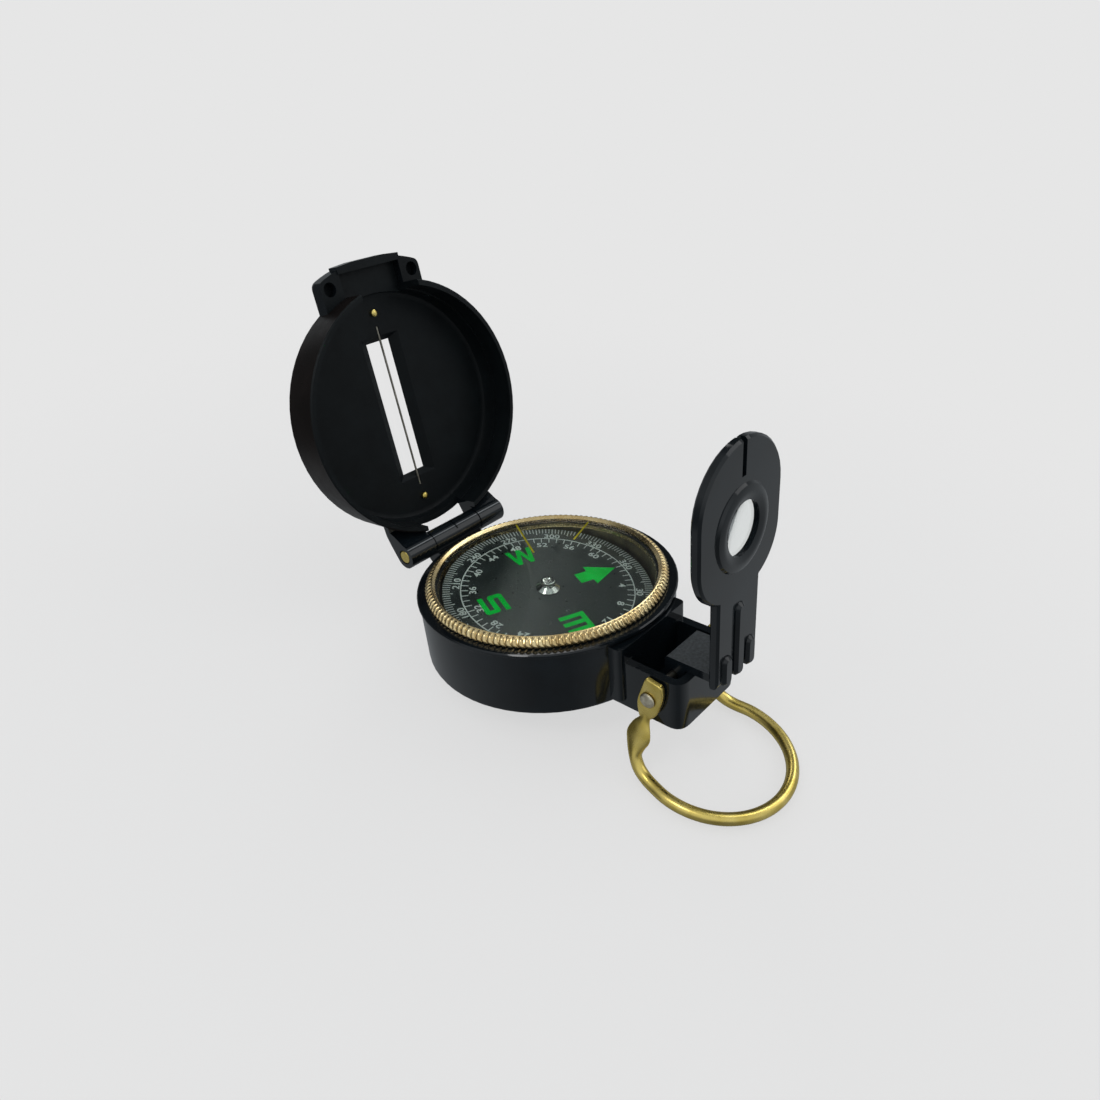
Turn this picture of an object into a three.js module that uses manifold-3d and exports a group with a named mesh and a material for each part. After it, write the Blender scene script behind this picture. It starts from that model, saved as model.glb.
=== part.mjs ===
// Folding sighting compass: a round case with a box in front, a hinged cover with a sight wire,
// a folding arm with a lens, a thumb ring, a turning bezel and a liquid capsule with a floating dial.
// Millimetres. Origin at the centre of the case's underside, +Z up, cover hinge at +Y, box at -Y.
import * as THREE from 'three';
import { mergeVertices } from 'three/addons/utils/BufferGeometryUtils.js';
import Module from 'manifold-3d';

const wasm = await Module();
wasm.setup();

// Clearances
const seatGap = 0.03; // between pieces glued or clamped face to face
const pressGap = 0.06; // round a pin that is fast in its hole
const runGap = 0.2; // round a pin or rivet that something turns on
const turnGap = 0.3; // between walls that pass each other
const overshoot = 1; // how far a cutter runs past the face it opens
const roundSides = 64; // facets round the case and the cover
const lensSides = 32; // facets round the lens and its seat

// Case
const caseRadius = 28.0;
const caseFlare = 0.15;
const caseEdge = 0.9;
const rimRadius = 28.6;
const rimHeight = 0.95;
const caseHeight = 15.2;
const cavityRadius = 24.85;
const caseFloor = 1.6;

// Box in front of the case
const boxHalfWidth = 9.86;
const boxFrontY = -41.96;
const boxHeight = 10.74;
const boxWall = 1.8;
const boxCorner = 3.0;
const chordWallY = -28.9;
const chordWallHeight = 13.9;
const chordHalfWidth = 10.9;

// Cover hinge
const hingeReach = 2.59; // from the cover's rim to the hinge axis
const hingeZ = 17.06;
const hingePinRadius = 1.55;
const caseKnuckleRadius = 2.8;
const caseKnuckleHalf = 7.0;
const coverKnuckleRadius = 2.85;
const coverKnuckleEnd = 14.78;
const coverOpenAngle = 99.34;

// Cover
const coverRadius = 28.09;
const coverTaper = 0.44; // the back is this much smaller in radius than the rim
const coverWall = 1.2;
const coverLedge = 0.35; // step inside the wall
const coverLedgeDepth = 4; // from the inner face to the step
const coverHeight = 10.5;
const coverFloor = 1.5;
const coverEdge = 1.1;
const coverRimDrop = 1.5; // the rim's edge below the hinge axis when shut
const earReach = 8.4; // from the hinge axis into the cover's wall
const hingeGapDepth = 5.0; // the wall is open between the ears, to this far behind the hinge axis
const slotHalfWidth = 3.05;
const slotHalfLength = 15.6;
const slotFlareX = 2.15;
const slotFlareY = 1.25;
const wireRadius = 0.25;
const wireHalfLength = 18.9;
const studRadius = 0.75;
const studHeight = 0.9;
const studSpread = 21.9;

// Tab at the cover's free end
const tabHalfWidth = 13.2;
const tabCorner = 1.4;
const tabReach = 5.36; // beyond the cover's rim
const tabDrop = 1.5; // the tab's back lies this much below the cover's
const tabThickness = 1.1;
const tabBlockInner = 7.9;
const tabBlockDepth = 2.15;
const tabHoleRadius = 1.5;
const tabHoleX = 10.98;
const tabHoleInset = 4.35; // from the tab's edge
const tabHoleDepth = 2.2;
const tabLipThickness = 1.8;
const tabLipDepth = 2.4;
const tabLipBow = 0.35; // its ends stand back from its middle
const stemGateHalfWidth = 7.6;

// Sighting arm, upright
const armOuterY = -47.79;
const armThickness = 2.03;
const armBottom = 10.86;
const armTop = 58.1;
const stemHalfWidth = 6.73;
const headHalfWidth = 12.9;
const headStraightTop = 46.2;
const headCornerZ = 38.6;
const headCornerRadius = 10.0;
const armChamfer = 0.45;
const armHeelRadius = 2.0;
const footThickness = 1.75;
const footHalfWidth = 5.2;
const sightNotchWidth = 1.25;
const sightNotchFloor = 51.4;
const ribWidth = 2.9;
const ribHeight = 0.8;
const ribRound = 0.6;
const ribSpread = 4.0;
const ribTopMiddle = 26.8;
const ribTopSide = 17.2;
const armPivotY = -37.0;
const armPivotZ = 8.7;
const armKnuckleRadius = 1.9;
const armPinRadius = 0.9;
const armPinGrip = 1.2; // depth of the pin's blind hole in each box wall

// Lens in the arm's head
const lensZ = 41.8;
const collarRadius = 8.3;
const lensOpening = 5.1;
const beadHeight = 0.75;
const lensRadius = 6.3;
const lensLip = 0.5;
const lensRim = 0.5;
const lensCrown = 0.45;
const lensRingThickness = 0.4;
const lensRingWidth = 0.95;

// Thumb ring
const lugThickness = 1.2;
const lugRise = 4.9;
const lugDrop = 5.2;
const lugHalfWidth = 3.15;
const shankDrop = 16.2;
const shankSpread = 3.45;
const shankSweep = 1.95;
const neckHalfWidth = 1.2;
const spoonHalfWidth = 2.75;
const ringPivotY = -35.5;
const ringPivotZ = 5.85;
const rivetRadius = 1.15;
const rivetHeadRadius = 1.65;
const rivetHeadHeight = 0.6;
const rivetGrip = 1.4; // depth of the rivet's hole in the box wall
const loopWireRadius = 1.3;
const loopRadius = 15.7;
const loopY = -43.29;
const loopZ = -12.15;
const loopTilt = 8.43;
const loopStart = 205; // degrees round the loop where the left shank joins it

// Bezel
const bezelRadius = 26.5;
const bezelInner = 24.3;
const bezelHeight = 1.75;
const bezelSide = 0.85;
const knurlCount = 120;
const knurlDepth = 0.4;
const crystalRadius = 24.75;
const crystalThickness = 0.55;
const crystalRise = 1.35; // above the case's top
const frictionRingRadius = 25.4;
const frictionWire = 0.3;

// Liquid capsule and dial
const cupWall = 0.55;
const cupFloor = 1.0;
const sealHeight = 0.17;
const windowThickness = 0.45;
const windowRise = 0.68; // above the case's top
const dialRadius = 23.4;
const dialThickness = 0.5;
const dialDrop = 3.4; // below the case's top
const dialNorth = -20.5; // degrees from +X
const dialTilt = 8; // the card floats level while the case leans on its thumb ring
const hubFlangeRadius = 2.66;
const hubFlangeHeight = 0.25;
const hubConeHeight = 1.0;
const hubNeckRadius = 1.15;
const hubCapRadius = 1.55;
const hubCapHeight = 0.75;
const hubDimple = 0.2;
const hubHeight = 2.15;
const hubStemRadius = 1.5;
const hubStemLength = 2.0;
const jewelRadius = 0.95;
const jewelHeight = 0.55;
const jewelCup = 0.35;
const postRadius = 0.55;
const postFootRadius = 2.2;
const postFootHeight = 0.8;
const postPoint = 3.0;
const postTipGap = 0.12;
const magnetLength = 30;
const magnetWidth = 6;
const magnetThickness = 1.4;

const deg = THREE.MathUtils.degToRad;

// Turns any closed geometry into a solid with its faces pointing out.
function solid(geometry) {
  const bare = geometry.clone();
  bare.deleteAttribute('normal');
  bare.deleteAttribute('uv');
  const merged = mergeVertices(bare, 1e-4);
  const points = merged.attributes.position.array;
  const faces = [];
  let volume = 0;
  for (let i = 0; i < merged.index.count; i += 3) {
    const [a, b, c] = [0, 1, 2].map((k) => merged.index.getX(i + k));
    if (a === b || b === c || c === a) continue;
    faces.push([a, b, c]);
    const [p, q, r] = [a, b, c].map((k) => new THREE.Vector3().fromArray(points, 3 * k));
    volume += p.dot(q.cross(r));
  }
  const triVerts = Uint32Array.from(faces.flatMap(([a, b, c]) => (volume > 0 ? [a, b, c] : [a, c, b])));
  return new wasm.Manifold(new wasm.Mesh({ numProp: 3, vertProperties: Float32Array.from(points), triVerts }));
}

const join = (first, ...others) => others.reduce((whole, piece) => whole.add(piece), first);
const cut = (first, ...others) => others.reduce((whole, piece) => whole.subtract(piece), first);

// Revolves a profile of [radius, height] points about +Z.
function revolve(profile, segments = 48) {
  const points = profile.map(([r, z]) => new THREE.Vector2(r, z));
  return new THREE.LatheGeometry(points, segments).rotateX(Math.PI / 2);
}

const closed = (profile) => [...profile, profile[0]];
const disc = (radius, low, high, segments) =>
  revolve([[0, low], [radius, low], [radius, high], [0, high]], segments);
const washer = (inner, outer, low, high, segments) =>
  revolve(closed([[inner, low], [outer, low], [outer, high], [inner, high]]), segments);

// A closed outline of [x, y, corner radius] points, its corners rounded.
function outline(corners) {
  const shape = new THREE.Shape();
  corners.forEach(([x, y, radius = 0], i) => {
    const here = new THREE.Vector2(x, y);
    const ends = [corners.at(i - 1), corners[(i + 1) % corners.length]].map(([ex, ey]) => {
      const side = new THREE.Vector2(ex, ey).sub(here);
      return side.setLength(Math.min(radius, side.length() / 2)).add(here);
    });
    if (i === 0) shape.moveTo(ends[0].x, ends[0].y);
    else shape.lineTo(ends[0].x, ends[0].y);
    if (radius > 0) shape.quadraticCurveTo(x, y, ends[1].x, ends[1].y);
  });
  return shape;
}

const rectangle = (x0, y0, x1, y1, radius = 0) =>
  outline([[x0, y0, radius], [x1, y0, radius], [x1, y1, radius], [x0, y1, radius]]);

// Slabs of an outline: drawn in XY along Z, in YZ along X, in XZ along Y.
function slab(shape, low, high, curveSegments = 5, bevel = 0) {
  const bevelEnabled = bevel > 0;
  const depth = high - low - 2 * bevel;
  const edge = { bevelThickness: bevel, bevelSize: bevel, bevelOffset: -bevel, bevelSegments: 1 };
  const body = new THREE.ExtrudeGeometry(shape, { depth, curveSegments, bevelEnabled, ...edge });
  return body.translate(0, 0, low + bevel);
}

function turned(geometry, xAxis, yAxis) {
  const [x, y] = [xAxis, yAxis].map((axis) => new THREE.Vector3(...axis));
  return geometry.applyMatrix4(new THREE.Matrix4().makeBasis(x, y, x.clone().cross(y)));
}

const slabX = (shape, low, high, ...rest) => turned(slab(shape, low, high, ...rest), [0, 1, 0], [0, 0, 1]);
const slabY = (shape, low, high, ...rest) => turned(slab(shape, -high, -low, ...rest), [1, 0, 0], [0, 0, 1]);
const rodX = (radius, low, high, y, z, segments = 24) =>
  turned(disc(radius, low, high, segments), [0, 1, 0], [0, 0, 1]).translate(0, y, z);

// A four-sided frustum between two centred rectangles of [half x, half y].
function frustum(lowHalf, highHalf, low, high) {
  const ring = ([x, y], z) => [[-x, -y, z], [x, -y, z], [x, y, z], [-x, y, z]];
  const corners = [...ring(lowHalf, low), ...ring(highHalf, high)];
  const faces = [0, 1, 2, 3].flatMap((i) => {
    const next = (i + 1) % 4;
    return [i, next, next + 4, i, next + 4, i + 4];
  });
  const body = new THREE.BufferGeometry();
  body.setAttribute('position', new THREE.Float32BufferAttribute(corners.flat(), 3));
  body.setIndex([...faces, 0, 2, 1, 0, 3, 2, 4, 5, 6, 4, 6, 7]);
  return body;
}

// Joins rings of equally many points into a closed skin, with a fan over each end or back to the start.
function skin(rings, loops = false) {
  const sides = rings[0].length;
  const at = (i, j) => (i % rings.length) * sides + (j % sides);
  const faces = [];
  for (let i = 0; i < rings.length - (loops ? 0 : 1); i += 1) {
    for (let j = 0; j < sides; j += 1) {
      faces.push(at(i, j), at(i, j + 1), at(i + 1, j + 1), at(i, j), at(i + 1, j + 1), at(i + 1, j));
    }
  }
  for (let j = 1; j < sides - 1 && !loops; j += 1) {
    const last = rings.length - 1;
    faces.push(at(0, 0), at(0, j + 1), at(0, j), at(last, 0), at(last, j), at(last, j + 1));
  }
  const body = new THREE.BufferGeometry();
  body.setAttribute('position', new THREE.Float32BufferAttribute(rings.flat(2), 3));
  body.setIndex(faces);
  return body;
}

const finish = (color, roughness, metalness) => new THREE.MeshStandardMaterial({ color, roughness, metalness });
const blackPlastic = finish('#1b1d1c', 0.42, 0);
const cardBlack = finish('#1f2421', 0.6, 0);
const brass = finish('#b9a06a', 0.38, 0.9);
const steel = finish('#b4b4b0', 0.3, 1);
const gildedBrass = finish('#b89b45', 0.25, 1);
const rubber = finish('#161616', 0.85, 0);
const ruby = finish('#a31f38', 0.15, 0);
const magnetGrey = finish('#55565a', 0.5, 0.8);
const clear = new THREE.MeshStandardMaterial({
  color: '#e8efec', roughness: 0.05, metalness: 0, transparent: true, opacity: 0.25,
});

function mesh(name, body, material) {
  const { vertProperties, triVerts } = body.getMesh();
  const geometry = new THREE.BufferGeometry();
  geometry.setAttribute('position', new THREE.BufferAttribute(vertProperties, 3));
  geometry.setIndex(new THREE.BufferAttribute(triVerts, 1));
  geometry.computeVertexNormals();
  const part = new THREE.Mesh(geometry, material);
  part.name = name;
  return part;
}

// Values that several pieces share
const boxInner = boxHalfWidth - boxWall;
const hingeY = Math.max(coverRadius + hingeReach, bezelRadius + turnGap + caseKnuckleRadius);
const caseWallTop = caseHeight - rimHeight;
const bezelBottom = caseHeight + turnGap / 2;
const crystalTop = caseHeight + crystalRise;
const crystalBottom = crystalTop - crystalThickness;
const dialTop = caseHeight - dialDrop;
const lugInner = boxHalfWidth + turnGap;
const lugOuter = lugInner + lugThickness;
const armInnerY = armOuterY + armThickness;
const footTop = armBottom + footThickness;
const lugHoleRadius = rivetRadius + runGap;
const frictionGroove = frictionWire + 2 * pressGap;

function caseBody() {
  const round = revolve([
    [0, 0],
    [caseRadius - caseEdge, 0],
    [caseRadius - 0.3 * caseEdge, 0.3 * caseEdge],
    [caseRadius, caseEdge],
    [caseRadius + caseFlare, caseWallTop],
    [rimRadius - 0.15, caseWallTop],
    [rimRadius, caseWallTop + 0.25],
    [rimRadius, caseHeight - 0.25],
    [rimRadius - 0.25, caseHeight],
    [0, caseHeight],
  ], roundSides);
  const box = slab(outline([
    [-boxHalfWidth, 0], [-boxHalfWidth, boxFrontY, boxCorner],
    [boxHalfWidth, boxFrontY, boxCorner], [boxHalfWidth, 0],
  ]), 0, boxHeight, 8);
  const chord = slab(outline([
    [-chordHalfWidth, 0], [-chordHalfWidth, chordWallY, 1.2],
    [chordHalfWidth, chordWallY, 1.2], [chordHalfWidth, 0],
  ]), caseFloor, chordWallHeight);
  return join(solid(round), solid(box), solid(chord), caseKnuckle());
}

// The knuckle stands on a web behind the rim and has a fine parting groove in the middle.
function caseKnuckle() {
  const webFront = rimRadius - turnGap / 2;
  const web = outline([
    [caseRadius - 2, caseHeight - 6.5], [caseRadius, caseHeight - 6.5],
    [hingeY + caseKnuckleRadius, hingeZ - 2.6, 1.5], [hingeY + caseKnuckleRadius, hingeZ],
    [hingeY, hingeZ], [webFront, hingeZ - 0.6], [webFront, caseHeight], [caseRadius - 2, caseHeight],
  ]);
  const barrel = rodX(caseKnuckleRadius, -caseKnuckleHalf, caseKnuckleHalf, hingeY, hingeZ);
  const parting = turned(
    washer(caseKnuckleRadius - 0.35, caseKnuckleRadius + overshoot, -0.2, 0.2, 24), [0, 1, 0], [0, 0, 1],
  ).translate(0, hingeY, hingeZ);
  const upperHalf = slabX(rectangle(webFront, hingeZ, hingeY + 5, hingeZ + 5), -overshoot, overshoot);
  return cut(
    join(solid(slabX(web, -caseKnuckleHalf, caseKnuckleHalf)), solid(barrel)),
    solid(parting).intersect(solid(upperHalf)),
  );
}

function baseCase() {
  const frontInner = boxFrontY + boxWall;
  const hollow = slab(outline([
    [-boxInner, chordWallY, 0.8], [-boxInner, frontInner, boxCorner - boxWall],
    [boxInner, frontInner, boxCorner - boxWall], [boxInner, chordWallY, 0.8],
  ]), caseFloor, boxHeight + overshoot);
  const rivetHole = (side) => solid(rodX(rivetRadius + pressGap, 0, rivetGrip + overshoot, 0, 0, 16)
    .translate(side < 0 ? -boxHalfWidth - overshoot : boxHalfWidth - rivetGrip, ringPivotY, ringPivotZ));
  const pinReach = boxInner + armPinGrip;
  return cut(
    caseBody(),
    solid(disc(cavityRadius, caseFloor, caseHeight + overshoot, roundSides)),
    solid(washer(
      frictionRingRadius - frictionGroove / 2, frictionRingRadius + frictionGroove / 2,
      caseHeight - frictionGroove, caseHeight + overshoot,
    )),
    solid(hollow),
    rivetHole(-1),
    rivetHole(1),
    solid(rodX(armPinRadius + pressGap, -pinReach, pinReach, armPivotY, armPivotZ, 16)),
    solid(rodX(
      hingePinRadius + pressGap, -caseKnuckleHalf - overshoot, caseKnuckleHalf + overshoot, hingeY, hingeZ,
    )),
  );
}

function ringRivet(side) {
  const headFace = lugOuter + seatGap * 3;
  const rivet = revolve([
    [0, boxHalfWidth - rivetGrip + pressGap], [rivetRadius, boxHalfWidth - rivetGrip + pressGap],
    [rivetRadius, headFace], [rivetHeadRadius, headFace],
    [rivetHeadRadius, headFace + rivetHeadHeight - 0.2],
    [rivetHeadRadius - 0.3, headFace + rivetHeadHeight], [0, headFace + rivetHeadHeight],
  ], 16);
  const placed = turned(rivet, [0, side, 0], [0, 0, 1]);
  return solid(placed.translate(0, ringPivotY, ringPivotZ));
}

function pivotPost() {
  const foot = caseFloor + seatGap + cupFloor + seatGap;
  return solid(revolve([
    [0, foot], [postFootRadius, foot], [postFootRadius, foot + postFootHeight],
    [postRadius, foot + postFootHeight + 0.4], [postRadius, postTip() - postPoint], [0, postTip()],
  ], 20));
}

function postTip() {
  return dialTop - dialThickness - hubStemLength + hubStemRecess() - jewelHeight + jewelCup - postTipGap;
}

// Depth of the bore in the hub's stem, from its lower end to the jewel's top.
function hubStemRecess() {
  return hubStemLength + dialThickness - seatGap;
}

function dialHub() {
  const face = dialTop + seatGap;
  const end = dialTop - dialThickness - hubStemLength;
  const bore = jewelRadius + seatGap;
  const top = face + hubHeight;
  return solid(revolve([
    [0, end + hubStemRecess() + seatGap], [bore, end + hubStemRecess() + seatGap], [bore, end],
    [hubStemRadius, end], [hubStemRadius, face], [hubFlangeRadius, face],
    [hubFlangeRadius, face + hubFlangeHeight], [hubCapRadius, face + hubConeHeight],
    [hubNeckRadius, face + hubConeHeight], [hubNeckRadius, top - hubCapHeight], [hubCapRadius, top - hubCapHeight],
    [hubCapRadius, top - hubDimple], [hubCapRadius - hubDimple, top], [hubCapRadius / 2, top],
    [hubCapRadius / 2, top - hubDimple], [0, top - hubDimple],
  ], 20));
}

function pivotJewel() {
  const top = dialTop - dialThickness - hubStemLength + hubStemRecess();
  return solid(revolve([
    [0, top - jewelHeight + jewelCup], [jewelRadius - 0.3, top - jewelHeight],
    [jewelRadius, top - jewelHeight], [jewelRadius, top], [0, top],
  ], 16));
}

function dialMagnet() {
  const top = dialTop - dialThickness - seatGap;
  const half = [magnetLength / 2, magnetWidth / 2];
  const bar = slab(rectangle(-half[0], -half[1], half[0], half[1], 1), top - magnetThickness, top);
  const eye = disc(hubStemRadius + pressGap, top - magnetThickness - overshoot, top + overshoot, 20);
  return cut(solid(bar), solid(eye)).rotate(0, 0, dialNorth);
}

// Bezel: side and bevel carry straight ridges, one column of points on each crest and each root.
function bezelRing() {
  const top = bezelBottom + bezelHeight;
  const columns = [];
  for (let k = 0; k < 2 * knurlCount; k += 1) {
    const dip = k % 2 ? knurlDepth : 0;
    const angle = (Math.PI * k) / knurlCount;
    const profile = [
      [crystalRadius + seatGap, bezelBottom], [bezelRadius - dip, bezelBottom],
      [bezelRadius - dip, bezelBottom + bezelSide - dip / 2], [bezelInner, top - dip / 2],
      [bezelInner, crystalTop + seatGap], [crystalRadius + seatGap, crystalTop + seatGap],
    ];
    columns.push(profile.map(([r, z]) => [r * Math.cos(angle), r * Math.sin(angle), z]));
  }
  return solid(skin(columns, true));
}

// Cover, drawn shut: its rim faces down and its centre lies on the case's axis.
const coverRimZ = hingeZ - coverRimDrop;
const coverTop = coverRimZ + coverHeight;
const coverInside = coverTop - coverFloor;
const coverBackRadius = coverRadius - coverTaper;
const tabArcRadius = coverRadius + tabReach;
const tabBack = coverTop - tabDrop;
const tabFloor = tabBack - tabThickness;
const tabFace = tabFloor - tabBlockDepth;
const innerRadiusAt = (z) =>
  coverRadius - coverWall - (coverTaper * (z - coverRimZ)) / (coverHeight - coverEdge);

// A strip along the tab, with a straight inner side and an arc round the cover's axis.
function tabShape(innerX, outerX, innerY, radius, steps) {
  const arc = Array.from({ length: steps + 1 }, (_, i) => {
    const x = THREE.MathUtils.lerp(innerX, outerX, i / steps);
    return [x, -Math.sqrt(radius ** 2 - x ** 2), Math.abs(x) < tabHalfWidth ? 0 : tabCorner];
  });
  return outline([[innerX, innerY(innerX)], ...arc, [outerX, innerY(outerX)]]);
}

function coverEar(side) {
  const at = (up, back) => [hingeY - up * coverKnuckleRadius, hingeZ + back * coverKnuckleRadius];
  const root = earReach / coverKnuckleRadius;
  const web = outline([
    at(-0.42, 0.9), at(0.77, 1.4), at(1.6, 1.7), at(root, 1.8), at(root, 1.2),
    at(2, 1.15), at(1.7, 0.63), at(0.95, -0.3), at(0, -0.5),
  ]);
  const near = caseKnuckleHalf + turnGap;
  const span = side < 0 ? [-coverKnuckleEnd, -near] : [near, coverKnuckleEnd];
  return join(solid(rodX(coverKnuckleRadius, ...span, hingeY, hingeZ)), solid(slabX(web, ...span)));
}

function coverOuter() {
  const shell = revolve([
    [0, coverRimZ], [coverRadius - 0.3, coverRimZ], [coverRadius, coverRimZ + 0.3],
    [coverBackRadius, coverTop - coverEdge], [coverBackRadius - 0.35 * coverEdge, coverTop - 0.3 * coverEdge],
    [coverBackRadius - coverEdge, coverTop], [0, coverTop],
  ], roundSides);
  const tab = slab(
    tabShape(-tabHalfWidth, tabHalfWidth, () => 5 - coverRadius, tabArcRadius, 12), tabFloor, tabBack,
  );
  const sunk = tabBack - tabThickness / 2;
  const wallY = (x) => -Math.sqrt((coverRadius - coverWall / 2) ** 2 - x ** 2);
  const block = (from, to) => slab(tabShape(from, to, wallY, tabArcRadius, 3), tabFace, sunk);
  const lipHalf = tabBlockInner + turnGap;
  const lip = slab(outline([
    [-lipHalf, tabLipThickness - tabArcRadius], [-lipHalf, tabLipBow - tabArcRadius], [-lipHalf / 2, -tabArcRadius],
    [lipHalf / 2, -tabArcRadius], [lipHalf, tabLipBow - tabArcRadius], [lipHalf, tabLipThickness - tabArcRadius],
  ]), tabFloor - tabLipDepth, sunk);
  const pieces = [shell, tab, block(-tabHalfWidth, -tabBlockInner), block(tabBlockInner, tabHalfWidth), lip];
  return join(...pieces.map(solid), coverEar(-1), coverEar(1));
}

function coverShell() {
  const wallAt = (depth, inset) => [innerRadiusAt(coverInside - depth) - inset, coverInside - depth];
  const mouth = [innerRadiusAt(coverRimZ), coverRimZ - overshoot];
  const inside = revolve([
    [0, coverRimZ - overshoot], mouth, wallAt(coverLedgeDepth, 0), wallAt(coverLedgeDepth, coverLedge),
    wallAt(1.6, coverLedge), wallAt(0.5, 2 * coverLedge), wallAt(0, 5 * coverLedge), [0, coverInside],
  ], roundSides);
  const slope = [slotFlareX / coverFloor, slotFlareY / coverFloor];
  const halfAt = (depth) => [slotHalfWidth + slope[0] * depth, slotHalfLength + slope[1] * depth];
  const past = 0.2;
  const slot = frustum(halfAt(coverFloor + past), halfAt(-past), coverInside - past, coverTop + past);
  const grooveHalf = wireRadius + pressGap;
  const groove = slab(
    rectangle(-grooveHalf, -wireHalfLength - pressGap, grooveHalf, wireHalfLength + pressGap),
    coverInside - overshoot, wireZ() + wireRadius + pressGap,
  );
  const studHole = (y) => disc(studRadius + pressGap, coverInside - overshoot, studTop() + pressGap, 16)
    .translate(0, y, 0);
  const gate = slab(
    rectangle(-stemGateHalfWidth, tabLipThickness - tabArcRadius, stemGateHalfWidth, -coverRadius + 6),
    coverRimZ - overshoot, tabFloor,
  );
  const hole = (x) => disc(tabHoleRadius, tabFace - overshoot, tabFace + tabHoleDepth, 20)
    .translate(x, tabHoleInset - tabArcRadius, 0);
  const gapHalf = caseKnuckleHalf + turnGap;
  const hingeGap = slab(
    rectangle(-gapHalf, coverRadius - 6, gapHalf, hingeY + 2 * coverKnuckleRadius),
    coverRimZ - overshoot, hingeZ + hingeGapDepth,
  );
  const cutters = [
    inside, slot, groove, studHole(studSpread), studHole(-studSpread), gate, hingeGap,
    hole(-tabHoleX), hole(tabHoleX),
  ];
  const bore = rodX(
    hingePinRadius + runGap, -coverKnuckleEnd - overshoot, coverKnuckleEnd + overshoot, hingeY, hingeZ,
  );
  return cut(coverOuter(), ...cutters.map(solid), solid(bore));
}

function wireZ() {
  return coverInside + 0.1 + wireRadius / 2;
}

function studTop() {
  return coverInside + coverFloor / 2;
}

const coverStud = (y) => solid(disc(studRadius, coverInside - studHeight, studTop(), 16)
  .translate(0, y, 0));

const sightWire = () => solid(turned(disc(wireRadius, -wireHalfLength, wireHalfLength, 8), [1, 0, 0], [0, 0, 1])
  .translate(0, 0, wireZ()));

// Half of the arm's face, from the heel up the stem, round the head and to the top.
function armFace() {
  const cornerX = headHalfWidth - headCornerRadius;
  const meet = -Math.acos((stemHalfWidth - cornerX) / headCornerRadius);
  const shape = new THREE.Shape();
  shape.moveTo(-stemHalfWidth, armBottom);
  shape.lineTo(stemHalfWidth, armBottom);
  shape.absarc(cornerX, headCornerZ, headCornerRadius, meet, 0, false);
  shape.absellipse(0, headStraightTop, headHalfWidth, armTop - headStraightTop, 0, Math.PI, false);
  shape.absarc(-cornerX, headCornerZ, headCornerRadius, Math.PI, Math.PI - meet, false);
  return shape;
}

// A revolved piece turned to lie along Y in the arm's head, its low end towards the eye.
const inHead = (geometry) => turned(geometry, [1, 0, 0], [0, 0, -1]).translate(0, armOuterY, lensZ);

function sightArm() {
  const heel = outline([
    [armOuterY, armBottom, armHeelRadius], [armInnerY, armBottom], [armInnerY, armTop + overshoot],
    [armOuterY, armTop + overshoot],
  ]);
  const reach = headHalfWidth + overshoot;
  const plate = solid(slabY(armFace(), armOuterY, armInnerY, 10, armChamfer))
    .intersect(solid(slabX(heel, -reach, reach, 6)));
  const foot = slabX(outline([
    [armInnerY - armThickness / 2, armBottom], [boxFrontY + boxWall + turnGap, armBottom],
    [armPivotY - armKnuckleRadius, armPivotZ], [armPivotY + armKnuckleRadius, armPivotZ], [armPivotY + armKnuckleRadius, footTop, 1],
    [armInnerY, footTop], [armInnerY, footTop + 1], [armInnerY - armThickness / 2, footTop + 1],
  ]), -footHalfWidth, footHalfWidth);
  const knuckle = rodX(armKnuckleRadius, -footHalfWidth, footHalfWidth, armPivotY, armPivotZ);
  const crown = (collarRadius + lensOpening) / 2 + 0.3;
  const bead = inHead(revolve(closed([
    [lensOpening - 0.5, armThickness / 2], [lensOpening - 0.5, -beadHeight * 0.2], [crown - 0.9, -beadHeight * 0.9],
    [crown, -beadHeight], [crown + 0.9, -beadHeight * 0.6], [collarRadius, 0], [collarRadius, armThickness / 2],
  ]), lensSides));
  const rib = (x, top) => solid(slabY(
    rectangle(x - ribWidth / 2, armBottom, x + ribWidth / 2, top, ribWidth / 2),
    armOuterY - ribHeight, armInnerY - armChamfer, 4, ribRound,
  ));
  const seat = inHead(disc(lensRadius + pressGap, lensLip, armThickness + overshoot, lensSides));
  const opening = inHead(disc(lensOpening, -overshoot, armThickness + overshoot, lensSides));
  const notch = slabY(
    rectangle(-sightNotchWidth / 2, sightNotchFloor, sightNotchWidth / 2, armTop + overshoot),
    armOuterY - overshoot, armInnerY + overshoot,
  );
  const bore = rodX(
    armPinRadius + runGap, -footHalfWidth - overshoot, footHalfWidth + overshoot, armPivotY, armPivotZ, 16,
  );
  return cut(
    join(
      plate, solid(foot), solid(knuckle), solid(bead),
      rib(-ribSpread, ribTopSide), rib(0, ribTopMiddle), rib(ribSpread, ribTopSide),
    ),
    solid(opening), solid(seat), solid(notch), solid(bore),
  );
}

// The lens is biconvex: its rim stands back from the lip by the bulge that its front has there.
const lensBulge = (radius) => lensCrown * (1 - (radius / lensRadius) ** 2);
const lensFront = lensLip + seatGap + lensBulge(lensOpening);
const lensBack = lensFront + lensRim;

function lens() {
  const face = (level, side) => [0.35, 0.7, 1].map((t) => [lensRadius * t, level + side * lensBulge(lensRadius * t)]);
  return solid(inHead(revolve([
    [0, lensFront - lensCrown], ...face(lensFront, -1), ...face(lensBack, 1).reverse(), [0, lensBack + lensCrown],
  ], lensSides)));
}

function lensRing() {
  const inner = lensRadius - lensRingWidth;
  const front = lensBack + lensBulge(inner) + seatGap;
  return solid(inHead(washer(inner, lensRadius, front, front + lensRingThickness, lensSides)));
}

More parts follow.
